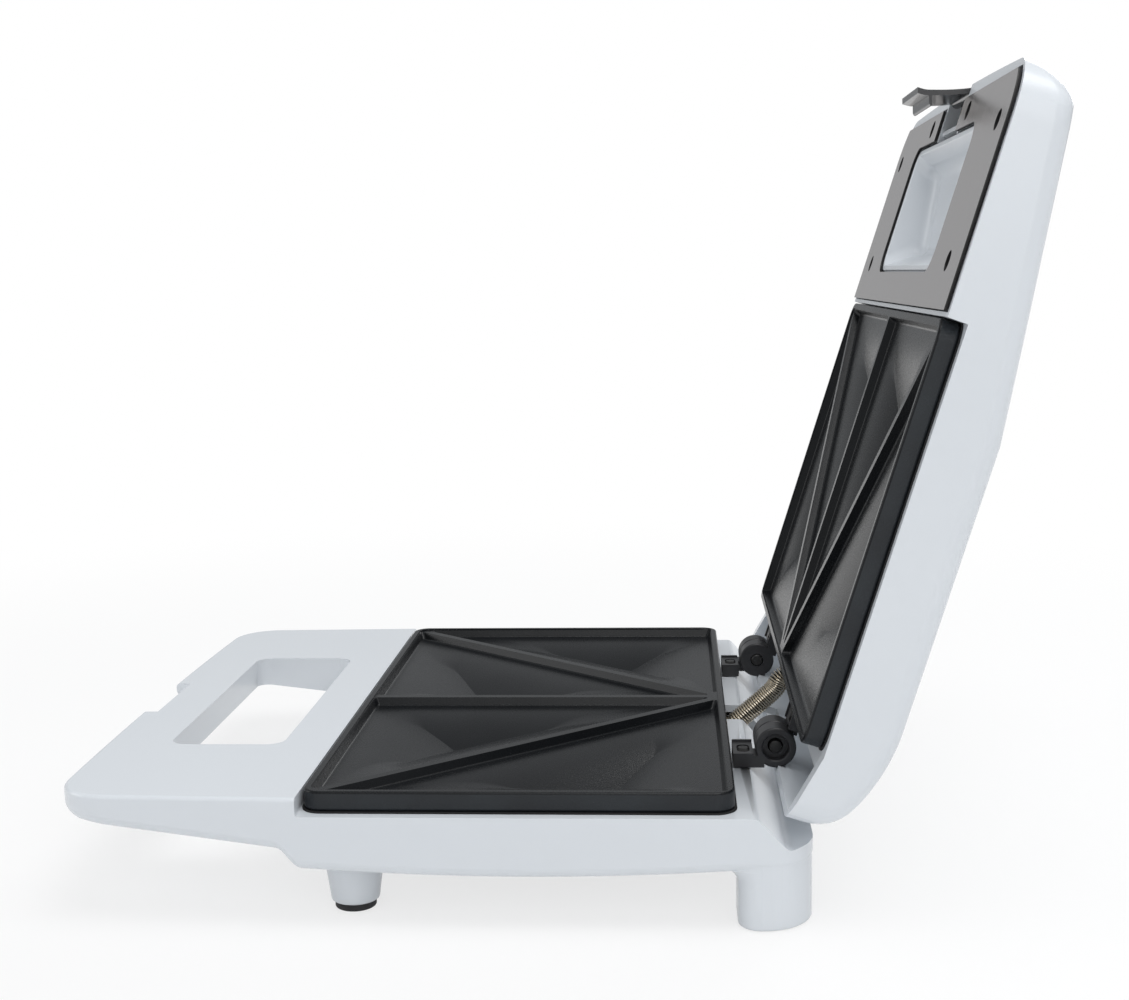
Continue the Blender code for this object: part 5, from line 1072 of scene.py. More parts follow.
class CookingPlate(Maker):
    """One of the two coated plates: rim, X-shaped ribs and four dished pockets."""

    sizes = PlateSizes()

    def __init__(self, workshop: Workshop, upper: bool) -> None:
        """Says which plate it is."""
        super().__init__(workshop)
        self.upper = upper

    def _triangles(self) -> list[tuple[Plan, tuple[float, float, float]]]:
        """The four pockets: corners, and insets from rib and rim."""
        s = self.sizes
        half, front = s.width / 2, -s.depth
        found = []
        for side in (-1, 1):
            found.append(([(0, 0), (0, front), (side * half, front)], (s.rib_half, s.rim, s.rib_half)))
            found.append(([(0, 0), (side * half, front), (side * half, 0)], (s.rib_half, s.rim, s.rim)))
        return found

    def _pocket(self, corners: Plan, insets: Sequence[float]) -> Solid:
        """One dish: a short steep wall, then three slopes that meet in creases at its deepest point."""
        s = self.sizes
        mouth = inset_corners(corners, insets)
        reach = inradius(mouth)
        levels = [(*s.mouth, s.pocket_corner), (0.0, -0.0, s.pocket_corner)]
        for a in arc(4)[:-1]:
            levels.append((s.draft + s.foot_round * (1 - math.cos(a)),
                           s.wall_depth - s.foot_round * (1 - math.sin(a)), s.pocket_corner))
        start = s.draft + s.foot_round
        for k in range(19):
            share = k / 18
            inset = start + (reach * s.reach_share - start) * share
            depth = s.wall_depth + (s.pocket_depth - s.wall_depth) * share ** s.slope_power
            part = min(share / s.crease_share, 1.0)
            radius = s.pocket_corner * (1 - part) + s.bowl * 4 * part * (1 - part) ** 1.5 * s.bowl_gain
            levels.append((inset, depth, max(radius, s.least_corner)))
        rings = []
        for inset, depth, radius in levels:
            shape = inset_corners(mouth, (inset,) * 3)
            radius = min(radius, inradius(shape) * 0.9)
            rings.append(level(rounded_plan(shape, (radius,) * 3, 10), -depth))
        return skin(rings)

    def build(self) -> None:
        """Makes the plate."""
        s = self.sizes
        levels = [(s.chamfer * (1 - math.sin(a)), -s.chamfer * (1 - math.cos(a))) for a in arc(3)]
        levels += [(0.0001, -s.rim_height + s.ledge + 0.0004)]
        levels += [(s.ledge * (1 - math.cos(a)), -s.rim_height + s.ledge * (1 - math.sin(a)) - FIT)
                   for a in arc(4)]
        levels += [(s.ledge, -s.rim_height - FIT), (s.skirt_inset, -s.rim_height - FIT),
                   (s.skirt_inset, -s.skirt_drop), (3 * s.skirt_inset, -s.skirt_drop),
                   (3 * s.skirt_inset, -s.floor_drop)]
        shape = skin([level(s.plan(inset), z) for inset, z in levels])
        lower_ribs = prism(rectangle(-s.width / 2 + s.rim, s.width / 2 - s.rim, -s.depth + s.rim, -s.rim,
                                     s.corner - s.rim, 8), -s.rib_low, 0.004)
        shape = carve(shape, [lower_ribs], Carving.REMOVE)
        shape = carve(shape, [self._pocket(corners, insets) for corners, insets in self._triangles()], Carving.REMOVE)
        round_edges(shape, s.rib_round, 3, lambda middle: middle.z > -s.rib_low - 0.0002
                    and abs(middle.x) < s.width / 2 - s.rib_in and -s.depth + s.rib_in < middle.y < -s.rib_in)
        bosses = [drill(s.boss_radius, -s.boss_drop, -s.floor_drop + 0.001, (u * s.width / 2, -s.depth * v, 0), 24)
                  for u, v in s.bosses]
        if not self.upper:
            bosses.append(drill(*s.thermostat_pad, s.thermostat_place, 32))
        shape = carve(shape, bosses, Carving.ADD)
        # A thin near-black ring round the plate at the shell's rim: painted shade in the gap between plate and shell.
        line = prism(s.plan(-s.line_out), -BaseSizes().rim + 0.00002, -BaseSizes().rim + s.line_height)
        line = carve(line, [prism(s.plan(s.ledge + 0.0002), -0.010, 0.002)], Carving.REMOVE)
        if self.upper:
            flip = DATUM.lid() @ Matrix.Translation((0, -DATUM.hinge_y, DATUM.hinge_z))
            flip = flip @ Matrix.Rotation(math.pi, 4, "Y")
            self._deliver("upper_cooking_casting", shape, Body.LID, "upper_plate", flip)
            self.workshop.deliver("upper_plate_shade_line", line, "painted_gap_shade", Body.LID, seat=flip, slot="black_plastic")
        else:
            self._deliver("lower_cooking_casting", shape, Body.BASE, "lower_plate", DATUM.base())
            self.workshop.deliver("lower_plate_shade_line", line, "painted_gap_shade", Body.BASE, seat=DATUM.base(),
                                  slot="black_plastic")

    def _deliver(self, name: str, shape: Solid, body: Body, node: str, seat: Matrix) -> None:
        """Marks the side band for its own finish and makes the piece."""
        s = self.sizes
        band = shape.faces.layers.int.new("band")
        for face in shape.faces:
            middle = face.calc_center_median()
            outer = (abs(middle.x) > s.width / 2 - s.band_in or middle.y > -s.band_in
                     or middle.y < -s.depth + s.band_in)
            face[band] = int(outer and middle.z < -s.band_top)
        self.workshop.deliver(name, shape, "nonstick_coating", body, (node,), seat,
                              second=("plate_side_coating", lambda face: face[band] == 1))


# Hinges and conduit


@dataclass(frozen=True)
class HingeSizes:
    """One hinge, about its own axis."""

    x: float = 0.0580
    radius: float = 0.0064
    width: float = 0.0078
    gap: float = 0.0004
    arm_start: float = -0.0131
    arm_stop: float = -0.0068
    low: float = -0.0063
    thick: float = 0.0039
    screw_y: float = -0.0098
    recess: float = 0.0040
    recess_depth: float = 0.0030
    edge: float = 0.0006
    bore: float = 0.0024
    rail: float = 0.0009
    rail_bite: float = 0.0002
    rail_rise: float = 0.0006
    over: float = 0.002
    link_end: float = -0.0035
    well: Triple = (0.0040, 0.0020, 0.00195)
    well_depth: float = 0.0018
    screw_bore: float = 0.0017
    pin_radius: float = 0.0021
    pin_out: float = 0.0006
    pin_in: float = 0.0010
    pin_steps: tuple = ((0.0, 0.0007), (0.0002, 0.0003), (0.0007, 0.0001))


class Hinges(Maker):
    """Both hinges: black brackets with barrels and screw wells, and their dark pins."""

    sizes = HingeSizes()

    def build(self) -> None:
        """Makes the brackets and pins on both sides."""
        for side, tag in ((-1, "left"), (1, "right")):
            for upper in (False, True):
                self._bracket(side, tag, upper)
            self._pin(side, tag)

    def _barrel(self, low: float, high: float, recessed: bool) -> Solid:
        """A knuckle with rounded rims, and a deep ring-shaped recess where its end shows."""
        h = self.sizes
        bore = h.bore
        profile = [(bore, low), (h.radius - h.edge, low)]
        profile += rounded_start(h.radius, low, h.edge)
        profile += [(h.radius - h.edge * (1 - math.cos(a)), high - h.edge * (1 - math.sin(a))) for a in arc(4)]
        if recessed:
            profile += [(h.recess + h.edge * (1 - math.sin(a)), high - h.edge * (1 - math.cos(a))) for a in arc(3)]
            profile += [(h.recess, high - h.recess_depth)]
            profile += [(bore, high - h.recess_depth)]
        else:
            profile += [(bore, high)]
        return lathe(profile, axis=RIGHT, ring=True)

    def _bracket(self, side: int, tag: str, upper: bool) -> None:
        """An arm with its screw well, and a knuckle."""
        h = self.sizes
        inner, outer = h.x - h.gap / 2, h.x + h.gap / 2
        knuckle = (inner - h.width, inner) if upper else (outer, outer + h.width)
        high = h.low + h.thick
        arm = block((inner - h.width, h.arm_start, h.low), (outer + h.width, h.arm_stop, high))
        rails = [block((edge, h.arm_start, high - h.rail_bite), (edge + h.rail, h.arm_stop, high + h.rail_rise))
                 for edge in (inner - h.width, outer + h.width - h.rail)]
        link = block((knuckle[0], h.arm_stop - h.gap, h.low), (knuckle[1], h.link_end, high))
        along, across, corner = h.well
        well = prism(rectangle(h.x - along, h.x + along, h.screw_y - across, h.screw_y + across, corner),
                     high - h.well_depth, high + h.over)
        shape = carve(arm, [*rails, link], Carving.ADD)
        shape = carve(shape, [well, drill(h.screw_bore, -10 * h.over, 10 * h.over, (h.x, h.screw_y, 0)),
                              drill(h.radius - h.gap, knuckle[0] + FIT, knuckle[1] - FIT, steps=40, axis=RIGHT)],
                      Carving.REMOVE)
        round_edges(shape, FIT, 2)
        shape = carve(shape, [self._barrel(*knuckle, not upper)], Carving.ADD)
        if upper:
            mirror(shape, 1, 1, -1)
        if side < 0:
            mirror(shape, -1, 1, 1)
        body, word = (Body.LID, "lid") if upper else (Body.BASE, "base")
        seat = DATUM.lid() if upper else DATUM.hinge()
        self.workshop.deliver(f"{word}_bracket_{tag}", shape, "black_plastic", body, (f"{word}_hinge_bracket_{tag}",),
                              seat)

    def _pin(self, side: int, tag: str) -> None:
        """A pin with a domed end in the barrel's recess."""
        h = self.sizes
        start = side * (h.x - h.gap / 2 - h.width - h.pin_out)
        stop = side * (h.x + h.gap / 2 + h.width - h.pin_in)
        length = abs(stop - start)
        radius = h.pin_radius
        profile = [(0, 0), (radius - h.gap, 0), (radius, h.gap)]
        profile += [(radius - inward, length - back) for inward, back in h.pin_steps]
        shape = lathe([*profile, (0, length)], (start, 0, 0), (side, 0, 0), 32)
        self.workshop.deliver("dark_pin_" + tag, shape, "blackened_steel_and_gap_shade", Body.BASE, ("hinge_pin_" + tag,),
                              DATUM.hinge(), slot="bright_steel")


@dataclass(frozen=True)
class ConduitSizes:
    """The wound conduit: its path from the tub to the lid and its wire."""

    radius: float = 0.0033
    wire: float = 0.00034
    turns: int = 58
    steps: int = 18
    leads: float = 0.0024
    low: tuple[float, float] = (-0.0016, -0.0200)
    neck: tuple[float, float] = (0.0008, -0.0128)
    knee: tuple[float, float] = (0.0178, 0.0020)
    to_s: float = 0.0098
    bend_w: float = 0.0042
    to_w: float = 0.0165
    bends: tuple[float, float, float] = (0.0050, 0.0100, 0.0050)
    squeeze: float = 0.30
    blend_from: tuple[float, float] = (0.0085, -0.014)
    blend_to_w: float = 0.010


class Conduit(Maker):
    """The wound steel conduit that carries the leads across the hinge."""

    sizes = ConduitSizes()

    def __init__(self, workshop: Workshop) -> None:
        """Works out the path in the world."""
        super().__init__(workshop)
        c, base, lid = self.sizes, DATUM.base(), DATUM.lid()
        corners = [base @ Vector((0, *place)) for place in (c.low, c.neck, c.knee)]
        corners += [lid @ Vector((0, -c.to_s, c.bend_w)), lid @ Vector((0, -c.to_s, c.to_w))]
        self.path = bend(corners, c.bends, 24)

    def _even(self, count: int, squeeze: float = 0.0) -> list[tuple[Vector, Vector]]:
        """Places and directions along the path, closer together towards the lid by the squeeze."""
        lengths = [0.0]
        for before, after in zip(self.path, self.path[1:]):
            lengths.append(lengths[-1] + (after - before).length)
        found = []
        at = 0
        for k in range(count + 1):
            share = k / count
            share = share + squeeze * share * (1 - share)
            goal = lengths[-1] * share
            while at < len(self.path) - 2 and lengths[at + 1] < goal:
                at += 1
            part = (goal - lengths[at]) / max(lengths[at + 1] - lengths[at], 1e-9)
            way = self.path[at + 1] - self.path[at]
            found.append((self.path[at] + way * part, way.normalized()))
        return found

    def build(self) -> None:
        """Makes the wire and the leads inside it."""
        c = self.sizes
        points = []
        for k, (place, way) in enumerate(self._even(c.turns * c.steps, c.squeeze)):
            angle = math.tau * k / c.steps
            points.append(place + c.radius * (RIGHT * math.cos(angle) + way.cross(RIGHT) * math.sin(angle)))
        start = DATUM.base() @ Vector((0, *c.blend_from))
        end = DATUM.lid() @ Vector((0, -c.to_s, c.blend_to_w))
        self.workshop.deliver("wound_conduit", tube(points, c.wire, 6), "straw_steel", Body.BASE, ("conduit_spring",),
                              slot="bright_steel", blend=(start, end))
        # Black leads inside the coil; their near-black finish is the one used for painted shade in gaps.
        line = [place for place, way in self._even(40)]
        self.workshop.deliver("dark_leads", tube(line, c.leads, 16), "painted_gap_shade", Body.BASE, ("lead_bundle",),
                              slot="black_plastic", blend=(start, end))


# Lid


@dataclass(frozen=True)
class LidSizes:
    """The lid about the hinge axis, closed: s runs forward from the hinge, w up from it."""

    half: float = 0.1138
    rear: float = 0.0076
    length: float = 0.2150
    rear_corner: float = 0.0080
    rear_lip: float = 0.0024
    height: float = 0.0264
    shoulder_rise: float = 0.0110
    shoulder_power: float = 1.75
    shoulder_run: float = 0.0333
    flat_end: float = 0.1110
    slope_end: float = 0.2025
    slope_rise: float = 0.0166
    nose_rise: float = 0.0057
    nose_end: float = 0.2140
    corner: float = 0.0060
    step: float = 0.1405
    rim: float = 0.0066
    front_edge: float = 0.0008
    hinge_y: float = 0.0140
    short: float = 0.0010
    wall: float = 0.0025
    deck_flat: float = 0.0060
    valley_start: float = 0.0150
    valley_top: float = 0.0168
    valley_rear: float = 0.0148
    over: float = 0.004
    windows: tuple = ((-0.0154, -0.0035, 0.0140), (0.00265, 0.0116, 0.0068))
    window_half: float = 0.0050
    knuckle_well: Triple = (0.0071, 0.0498, 0.0662)
    lens_s: float = 0.1320
    lens_x: float = 0.0140
    lens_hole: Triple = (0.0033, 0.0150, 0.0300)
    lens_profile: tuple = ((0.0030, -0.0004), (0.0030, 0.00006), (0.0044, 0.00006), (0.0044, 0.0004),
                           (0.0041, 0.0008), (0.0034, 0.0012), (0.0022, 0.0015), (0.0006, 0.0016))
    inner_share: float = 0.999
    rim_band: float = 0.0032
    nose_band: float = 0.006
    slot_part: float = 0.19
    edge_round: float = 0.0006

    def half_width(self, s: float, base: BaseSizes) -> float:
        """Half width at a distance in front of the hinge."""
        corner_s = self.rear_corner - self.rear
        if s < corner_s:
            return self.half - self.rear_corner + math.sqrt(max(self.rear_corner ** 2 - (corner_s - s) ** 2, 0))
        y = self.hinge_y - s - self.short
        corner_y = base.end + base.bow + base.corner
        if y > base.front:
            return base.half
        if y > corner_y:
            return base.handle_half + (base.half - base.handle_half) * (y - corner_y) / (base.front - corner_y)
        inner = base.handle_half - base.corner
        if y > corner_y - base.corner:
            return inner + math.sqrt(base.corner ** 2 - (corner_y - y) ** 2)
        return inner * math.sqrt(max((y - base.end) / base.bow, 0.04))

    def rise(self, s: float) -> float:
        """Height of the outer face."""
        shoulder = self.shoulder_run - self.rear
        if s < shoulder:
            share = max(1 - (1 - (s + self.rear) / self.shoulder_run) ** self.shoulder_power, 0.0)
            return self.shoulder_rise + (self.height - self.shoulder_rise) * share ** (1 / self.shoulder_power)
        if s < self.flat_end:
            return self.height
        if s < self.slope_end:
            share = (s - self.flat_end) / (self.slope_end - self.flat_end)
            return self.height + (self.slope_rise - self.height) * share
        share = (s - self.slope_end) / (self.nose_end - self.slope_end)
        return self.slope_rise + (self.nose_rise - self.slope_rise) * share ** 2

    def edge(self, s: float) -> float:
        """Height of the lower edge."""
        if s < -self.rear + self.wall:
            return self.rear_lip
        if s < self.hinge_y:
            share = (s + self.rear - self.wall) / (self.hinge_y + self.rear - self.wall)
            return self.rear_lip + (self.rim - self.rear_lip) * share
        return self.rim if s < self.step else self.front_edge

    def stations(self, base: BaseSizes) -> list[float]:
        """Stations along the lid, close together at its corners, its shoulder and its nose."""
        corner_s = self.rear_corner - self.rear
        found = [corner_s - self.rear_corner * math.cos(a) for a in arc(8)]
        found += [-self.rear + self.wall, self.hinge_y, self.step - FIT, self.step, self.flat_end]
        found += [corner_s + (self.shoulder_run - self.rear - corner_s) * k / 10 for k in range(11)]
        found += [self.shoulder_run - self.rear + (self.step - self.shoulder_run + self.rear) * k / 4
                  for k in range(4)]
        found += [self.flat_end + (self.slope_end - self.flat_end) * k / 16 for k in range(17)]
        nose_s = self.hinge_y - self.short - (base.end + base.bow)
        found += [nose_s - base.corner * (1 - math.sin(a)) for a in arc(14)]
        found += [nose_s + base.bow * k / 4 for k in range(5)]
        return sorted({round(s, 6) for s in found})


@dataclass(frozen=True)
class HandleSizes:
    """The lid's handle: steel plate, finger cup and latch slot."""

    steel_thick: float = 0.0004
    steel_low: float = 0.0006
    steel_inset: float = 0.0036
    steel_face: float = -0.0003
    seal: float = 0.0010
    layer: float = 0.0006
    layer_in: float = 0.00012
    slot_floor: float = 0.00496
    steel_rear: float = 0.1418
    cup_half: float = 0.0580
    cup_rear: float = 0.1555
    cup_front: float = 0.1965
    cup_rear_depth: float = 0.0150
    cup_front_depth: float = 0.0095
    cup_wall: float = 0.0018
    cup_corner: float = 0.0050
    cup_fillet: float = 0.0050
    cup_side_draft: float = 0.0020
    cup_rear_draft: float = 0.0060
    cup_flange: float = 0.0024
    cup_lip: float = 0.0005
    cup_bite: float = 0.0002
    cup_fillet_share: float = 0.7
    cup_least_corner: float = 0.0012
    reach: float = 0.01
    front_in: float = 0.0015
    slot_half: float = 0.0206
    latch_half: float = 0.0180
    latch_s: float = 0.2132
    slot_from: float = 0.2094
    slot_top: float = 0.0053
    slot_fit: float = 0.0005
    pin_hole: Triple = (0.0013, -0.0209, 0.0209)
    pin_height: float = 0.0028
    rib_gap: float = 0.0006
    rib_in: float = 0.0023
    rib_thick: float = 0.0016
    rib_down: float = 0.0010
    floor_side: float = 0.0004
    floor_rear: float = 0.0007
    floor_rib: float = 0.0022
    floor_step: float = 0.0018
    floor_front: float = 0.0006
    post_radius: float = 0.0036
    post_low: float = 0.0016
    pilot: Triple = (0.0017, 0.0, 0.0105)
    flange: tuple[float, float] = (0.0015, 0.0029)
    screw_shares: tuple = ((0.805, 0.194), (0.859, 0.740), (0.313, 0.857))
    screw_head: float = 0.0031


class Lid(Maker):
    """The lid's white moulding, its steel handle plate, its finger cup and its lenses."""

    sizes = LidSizes()
    base = BaseSizes()
    handle = HandleSizes()

    def build(self) -> None:
        """Makes every piece of the lid's own."""
        self.moulding()
        self.steel_plate()
        self.shade_layer()
        self.cup()
        self.lens(-1, "left", "red_lens", "power_lens")
        self.lens(1, "right", "green_lens", "ready_lens")

    def _ring(self, s: float, inset: float, low: float, high: float, radius: float, steps: int = 8) -> Ring:
        """A section across X: square at its lower edge, rounded above."""
        half = self.sizes.half_width(s, self.base) - inset
        radius = min(radius, (high - low) * 0.9)
        points = [Vector((-half, -s, low)), Vector((half, -s, low))]
        for quarter, centre in ((0, half - radius), (1, radius - half)):
            for k in range(steps + 1):
                angle = math.pi / 2 * (quarter + k / steps)
                points.append(Vector((centre + radius * math.cos(angle), -s,
                                      high - radius + radius * math.sin(angle))))
        return points

    def _screw_places(self) -> Plan:
        """Where the steel plate's screws stand."""
        h, s = self.handle, self.sizes
        return [(side * across * self.base.handle_half, -(h.steel_rear + along * (s.length - h.steel_rear)))
                for side in (-1, 1) for across, along in h.screw_shares]

    def _ribs(self) -> list[Solid]:
        """The latch slot's walls, its cross rib and the screw posts, as separate solids."""
        h, s = self.handle, self.sizes
        slot = h.latch_half + h.slot_fit
        rear = -(h.cup_front + h.cup_wall + h.rib_gap)
        front = -(h.latch_s + h.rib_down)
        made = [block((min(side * slot, side * h.slot_half), front, h.steel_low),
                      (max(side * slot, side * h.slot_half), rear, s.height)) for side in (-1, 1)]
        rib = rear - h.rib_in
        made.append(block((-slot - FIT, rib - h.rib_thick, h.steel_low + h.rib_down), (slot + FIT, rib, s.height)))
        made += [drill(h.post_radius, h.post_low, s.height, (x, y, 0), 24) for x, y in self._screw_places()]
        return made

    def moulding(self) -> None:
        """The white shell."""
        s, h = self.sizes, self.handle
        stations = s.stations(self.base)
        outer = [self._ring(x, 0, s.edge(x), s.rise(x), s.corner) for x in stations]
        radius = s.corner - s.wall
        plate_hollow = []
        for x in [s.deck_flat] + [x for x in stations if s.deck_flat < x < s.step - s.wall] + [h.steel_rear - s.wall]:
            floor = max(s.rim, s.valley_top + (x - s.hinge_y + s.valley_start) * (s.rim - s.valley_top)
                        / (s.valley_start - s.deck_flat))
            plate_hollow.append(self._ring(x, s.wall, floor + s.wall, s.rise(x) - s.wall, radius, 5))
        last = s.length - s.wall - h.front_in
        inside = [h.steel_rear] + [x for x in stations if h.steel_rear + h.cup_bite < x < last - FIT] + [last]
        handle_hollow = [self._ring(x, s.wall, -s.over, s.rise(x) - s.wall, radius, 5) for x in inside]
        front, rear = -s.hinge_y - FIT, s.rear - s.wall
        valley = prism([(front, -s.over), (front, s.rim), (s.deck_flat - s.hinge_y, s.rim),
                        (s.valley_start - s.hinge_y, s.valley_top), (rear, s.valley_rear), (rear, -s.over)],
                       -s.half + 2 * s.wall, s.half - 2 * s.wall, "X")
        seat = [(x, y - s.hinge_y) for x, y in PlateSizes().seat()]
        slot = h.latch_half + h.slot_fit
        cuts = [valley, skin(plate_hollow), skin(handle_hollow)]
        shape = carve(skin(outer), cuts, Carving.REMOVE)
        limits = skin([[Vector((p.x * s.inner_share, p.y, p.z)) for p in ring] for ring in outer])
        ribs = self._ribs()
        group = carve(ribs[0], ribs[1:], Carving.ADD)
        group = carve(group, [limits], Carving.KEEP)
        shape = carve(shape, [group], Carving.ADD)
        knuckles = [drill(*s.knuckle_well, steps=40, axis=(side, 0, 0)) for side in (-1, 1)]
        lens = [drill(*s.lens_hole, (side * s.lens_x, -s.lens_s, 0), 32) for side in (-1, 1)]
        pilots = [drill(*h.pilot, (x, y, 0)) for x, y in self._screw_places()]
        windows = [block((-s.window_half, rear, -s.over), (s.window_half, front, top))
                   for rear, front, top in s.windows]
        shape = carve(shape, [prism(seat, -s.over, s.rim + 2 * s.wall), *windows,
                              block((-slot, -s.length - s.over, -s.over), (slot, -h.slot_from, h.slot_top)),
                              drill(*h.pin_hole, (0, -h.latch_s, h.pin_height), axis=RIGHT),
                              *knuckles, *lens, *pilots], Carving.REMOVE)

        def seen(middle: Vector) -> bool:
            """Whether an edge is on the mating side's outer rim, the nose or the slot."""
            s_at = -middle.y
            near_wall = abs(middle.x) > s.half_width(max(s_at, -s.rear), self.base) - s.rim_band
            return near_wall or s_at > s.length - s.nose_band or (s_at > s.slot_part and middle.z < s.over)

        round_edges(shape, s.edge_round, 3, seen, math.radians(60))
        self.workshop.deliver("lid_moulding", shape, "white_plastic", Body.LID, ("lid_shell",), DATUM.lid())

    def _steel_plan(self, inset: float) -> Plan:
        """Outline of the steel plate at an inset from the lid's own edge."""
        s, h = self.sizes, self.handle
        first, last = h.steel_rear + FIT + inset - h.steel_inset, s.length - inset - h.front_in
        stations = [first] + [x for x in s.stations(self.base) if first + FIT < x < last - FIT] + [last]
        right = [(s.half_width(x, self.base) - inset, -x) for x in stations]
        return right + [(-x, y) for x, y in reversed(right)]

    def _screw_holes(self, radius: float) -> list[Solid]:
        """A round cutter at each screw of the steel plate."""
        over = self.sizes.over
        return [drill(radius, -over, over, (x, y, 0), 32) for x, y in self._screw_places()]

    def steel_plate(self) -> None:
        """The flat steel plate, cut out for the cup, the latch and the screws, with near-black cut edges that paint
        the shade in the gaps round it.
        """
        s, h = self.sizes, self.handle
        shape = prism(self._steel_plan(h.steel_inset), h.steel_face, h.steel_face + h.steel_thick)
        side = h.slot_half + FIT
        cuts = [prism(self._cup_plan(h.cup_wall + h.seal), -s.over, s.over),
                block((-side, -s.length, -s.over), (side, -h.cup_front, s.over))]
        cuts += self._screw_holes(h.screw_head)
        shape = carve(shape, cuts, Carving.REMOVE)
        shape.normal_update()
        # The plate's cut edges get the near-black finish: painted shade in the gaps round the steel.
        cut = shape.faces.layers.int.new("cut")
        for face in shape.faces:
            face[cut] = int(abs(face.normal.z) < 0.5)
        self.workshop.deliver("steel_handle_plate", shape, "brushed_steel", Body.LID, ("lid_handle_plate",),
                              DATUM.lid(), second=("blackened_steel_and_gap_shade", lambda face: face[cut] == 1))

    def _cup_plan(self, grow: float) -> Plan:
        """Plan of the finger cup's mouth."""
        h = self.handle
        return rectangle(-h.cup_half - grow, h.cup_half + grow, -h.cup_front - grow, -h.cup_rear + grow,
                         h.cup_corner + grow, 8)

    def _cup_depth(self, y: float) -> float:
        """Depth of the cup's floor, shallower towards the front."""
        h = self.handle
        share = (-y - h.cup_rear) / (h.cup_front - h.cup_rear)
        return h.cup_rear_depth + (h.cup_front_depth - h.cup_rear_depth) * share

    def _cup_ring(self, grow: float, share: float, fillet: float, depth: Callable[[float], float]) -> Ring:
        """One level of the cup: drafted by a share of its full draft, and in by its fillet."""
        h = self.handle
        side = h.cup_side_draft * share + fillet - grow
        rear = h.cup_rear_draft * share + fillet - grow
        radius = max(h.cup_corner + grow - fillet * h.cup_fillet_share, h.cup_least_corner)
        plan = rectangle(side - h.cup_half, h.cup_half - side, side - h.cup_front, -h.cup_rear - rear, radius, 8)
        return [Vector((x, y, depth(y))) for x, y in plan]

    def cup(self) -> None:
        """The white finger cup: rounded floor, sloping walls and the flange that the steel plate holds."""
        h = self.handle
        mouth, lip, wall, deep = h.steel_low, h.cup_lip, h.cup_wall, h.cup_fillet

        def fillet(a: float, grow: float) -> Callable[[float], float]:
            """Depth along the fillet between wall and floor."""
            return lambda y: self._cup_depth(y) + grow - deep * (1 - math.sin(a))

        outer = [self._cup_ring(wall, 1.0, deep * (1 - math.cos(a)), fillet(a, wall)) for a in reversed(arc(7))]
        rim = [self._cup_ring(wall, 0.0, 0.0, lambda y: mouth), self._cup_ring(lip, 0.0, 0.0, lambda y: mouth)]
        inner = [self._cup_ring(lip * (1 - math.sin(a)), 0.0, 0.0,
                                lambda y, a=a: mouth + lip * (1 - math.cos(a))) for a in arc(4)]
        walls = [self._cup_ring(0.0, 1.0, deep * (1 - math.cos(a)), fillet(a, 0.0)) for a in arc(7)]
        shape = skin(outer + rim + inner[1:] + walls)
        flange = prism(self._cup_plan(wall + h.cup_flange), *h.flange)
        hole = prism(self._cup_plan(wall - h.cup_bite), 0, h.reach)
        front = block((-1, -1, -h.reach), (1, -h.cup_front - wall - h.cup_bite, 2 * h.reach))
        flange = carve(flange, [hole, front], Carving.REMOVE)
        shape = carve(shape, [flange], Carving.ADD)
        self.workshop.deliver("finger_cup", shape, "white_plastic", Body.LID, ("lid_grip_cup",), DATUM.lid())

    def lens(self, side: int, tag: str, finish: str, node: str) -> None:
        """An indicator lens: a low dome whose collar lies on the sloping outer face."""
        s = self.sizes
        slope = (s.rise(s.lens_s + 0.001) - s.rise(s.lens_s - 0.001)) / 0.002
        shape = lathe(s.lens_profile, (side * s.lens_x, -s.lens_s, s.rise(s.lens_s)), (0, slope, 1))
        self.workshop.deliver("lens_" + tag, shape, finish, Body.LID, (node,), DATUM.lid())

    def shade_layer(self) -> None:
        """A near-black layer between the steel plate and the shell, painted shade in the gap round the steel's edge,
        and the near-black floors of the latch slot, painted shade in the slot.
        """
        s, h = self.sizes, self.handle
        low, high = h.steel_face + h.steel_thick, h.steel_face + h.steel_thick + h.layer
        shape = prism(self._steel_plan(h.steel_inset + h.layer_in), low, high)
        side = h.slot_half + FIT
        cuts = [prism(self._cup_plan(h.cup_wall + h.seal + h.layer_in), -s.over, s.over),
                block((-side, -s.length, -s.over), (side, -h.cup_front, s.over))]
        cuts += self._screw_holes(h.screw_head + h.layer_in)
        shape = carve(shape, cuts, Carving.REMOVE)
        # The slot's floors are near-black sheets: painted shade down in the latch slot.
        slot = h.latch_half + h.floor_side
        rear = -h.cup_front - h.cup_wall - h.floor_rear
        rib = rear - h.floor_rib
        floors = [block((-slot, start, h.slot_floor), (slot, stop, h.slot_floor + FIT))
                  for start, stop in ((-h.latch_s - h.floor_front, rib - h.floor_step), (rib, rear))]
        shape = carve(shape, floors, Carving.ADD)
        self.workshop.deliver("shade_layer", shape, "painted_gap_shade", Body.LID, seat=DATUM.lid(), slot="black_plastic")


# Latch and carried pieces


@dataclass(frozen=True)
class LatchSizes:
    """The latch about its own pin: z is along its thickness, y along its blade."""

    half: float = 0.0180
    barrel: float = 0.0020
    bore: float = 0.0013
    thick: float = 0.0018
    length: float = 0.0185
    hook_from: float = 0.0140
    hook_thick: float = 0.0010
    hook_reach: float = 0.0032
    lip: float = 0.0010
    flare: float = 0.0040
    back: float = 0.0004
    bow: float = 0.0003
    inner_bow: float = 0.6
    rear_flare: float = 0.9
    hook_shares: tuple = ((0.0, 1.0), (0.75, 1.0), (1.0, 0.6), (1.0, 0.0))
    edge: float = 0.0003


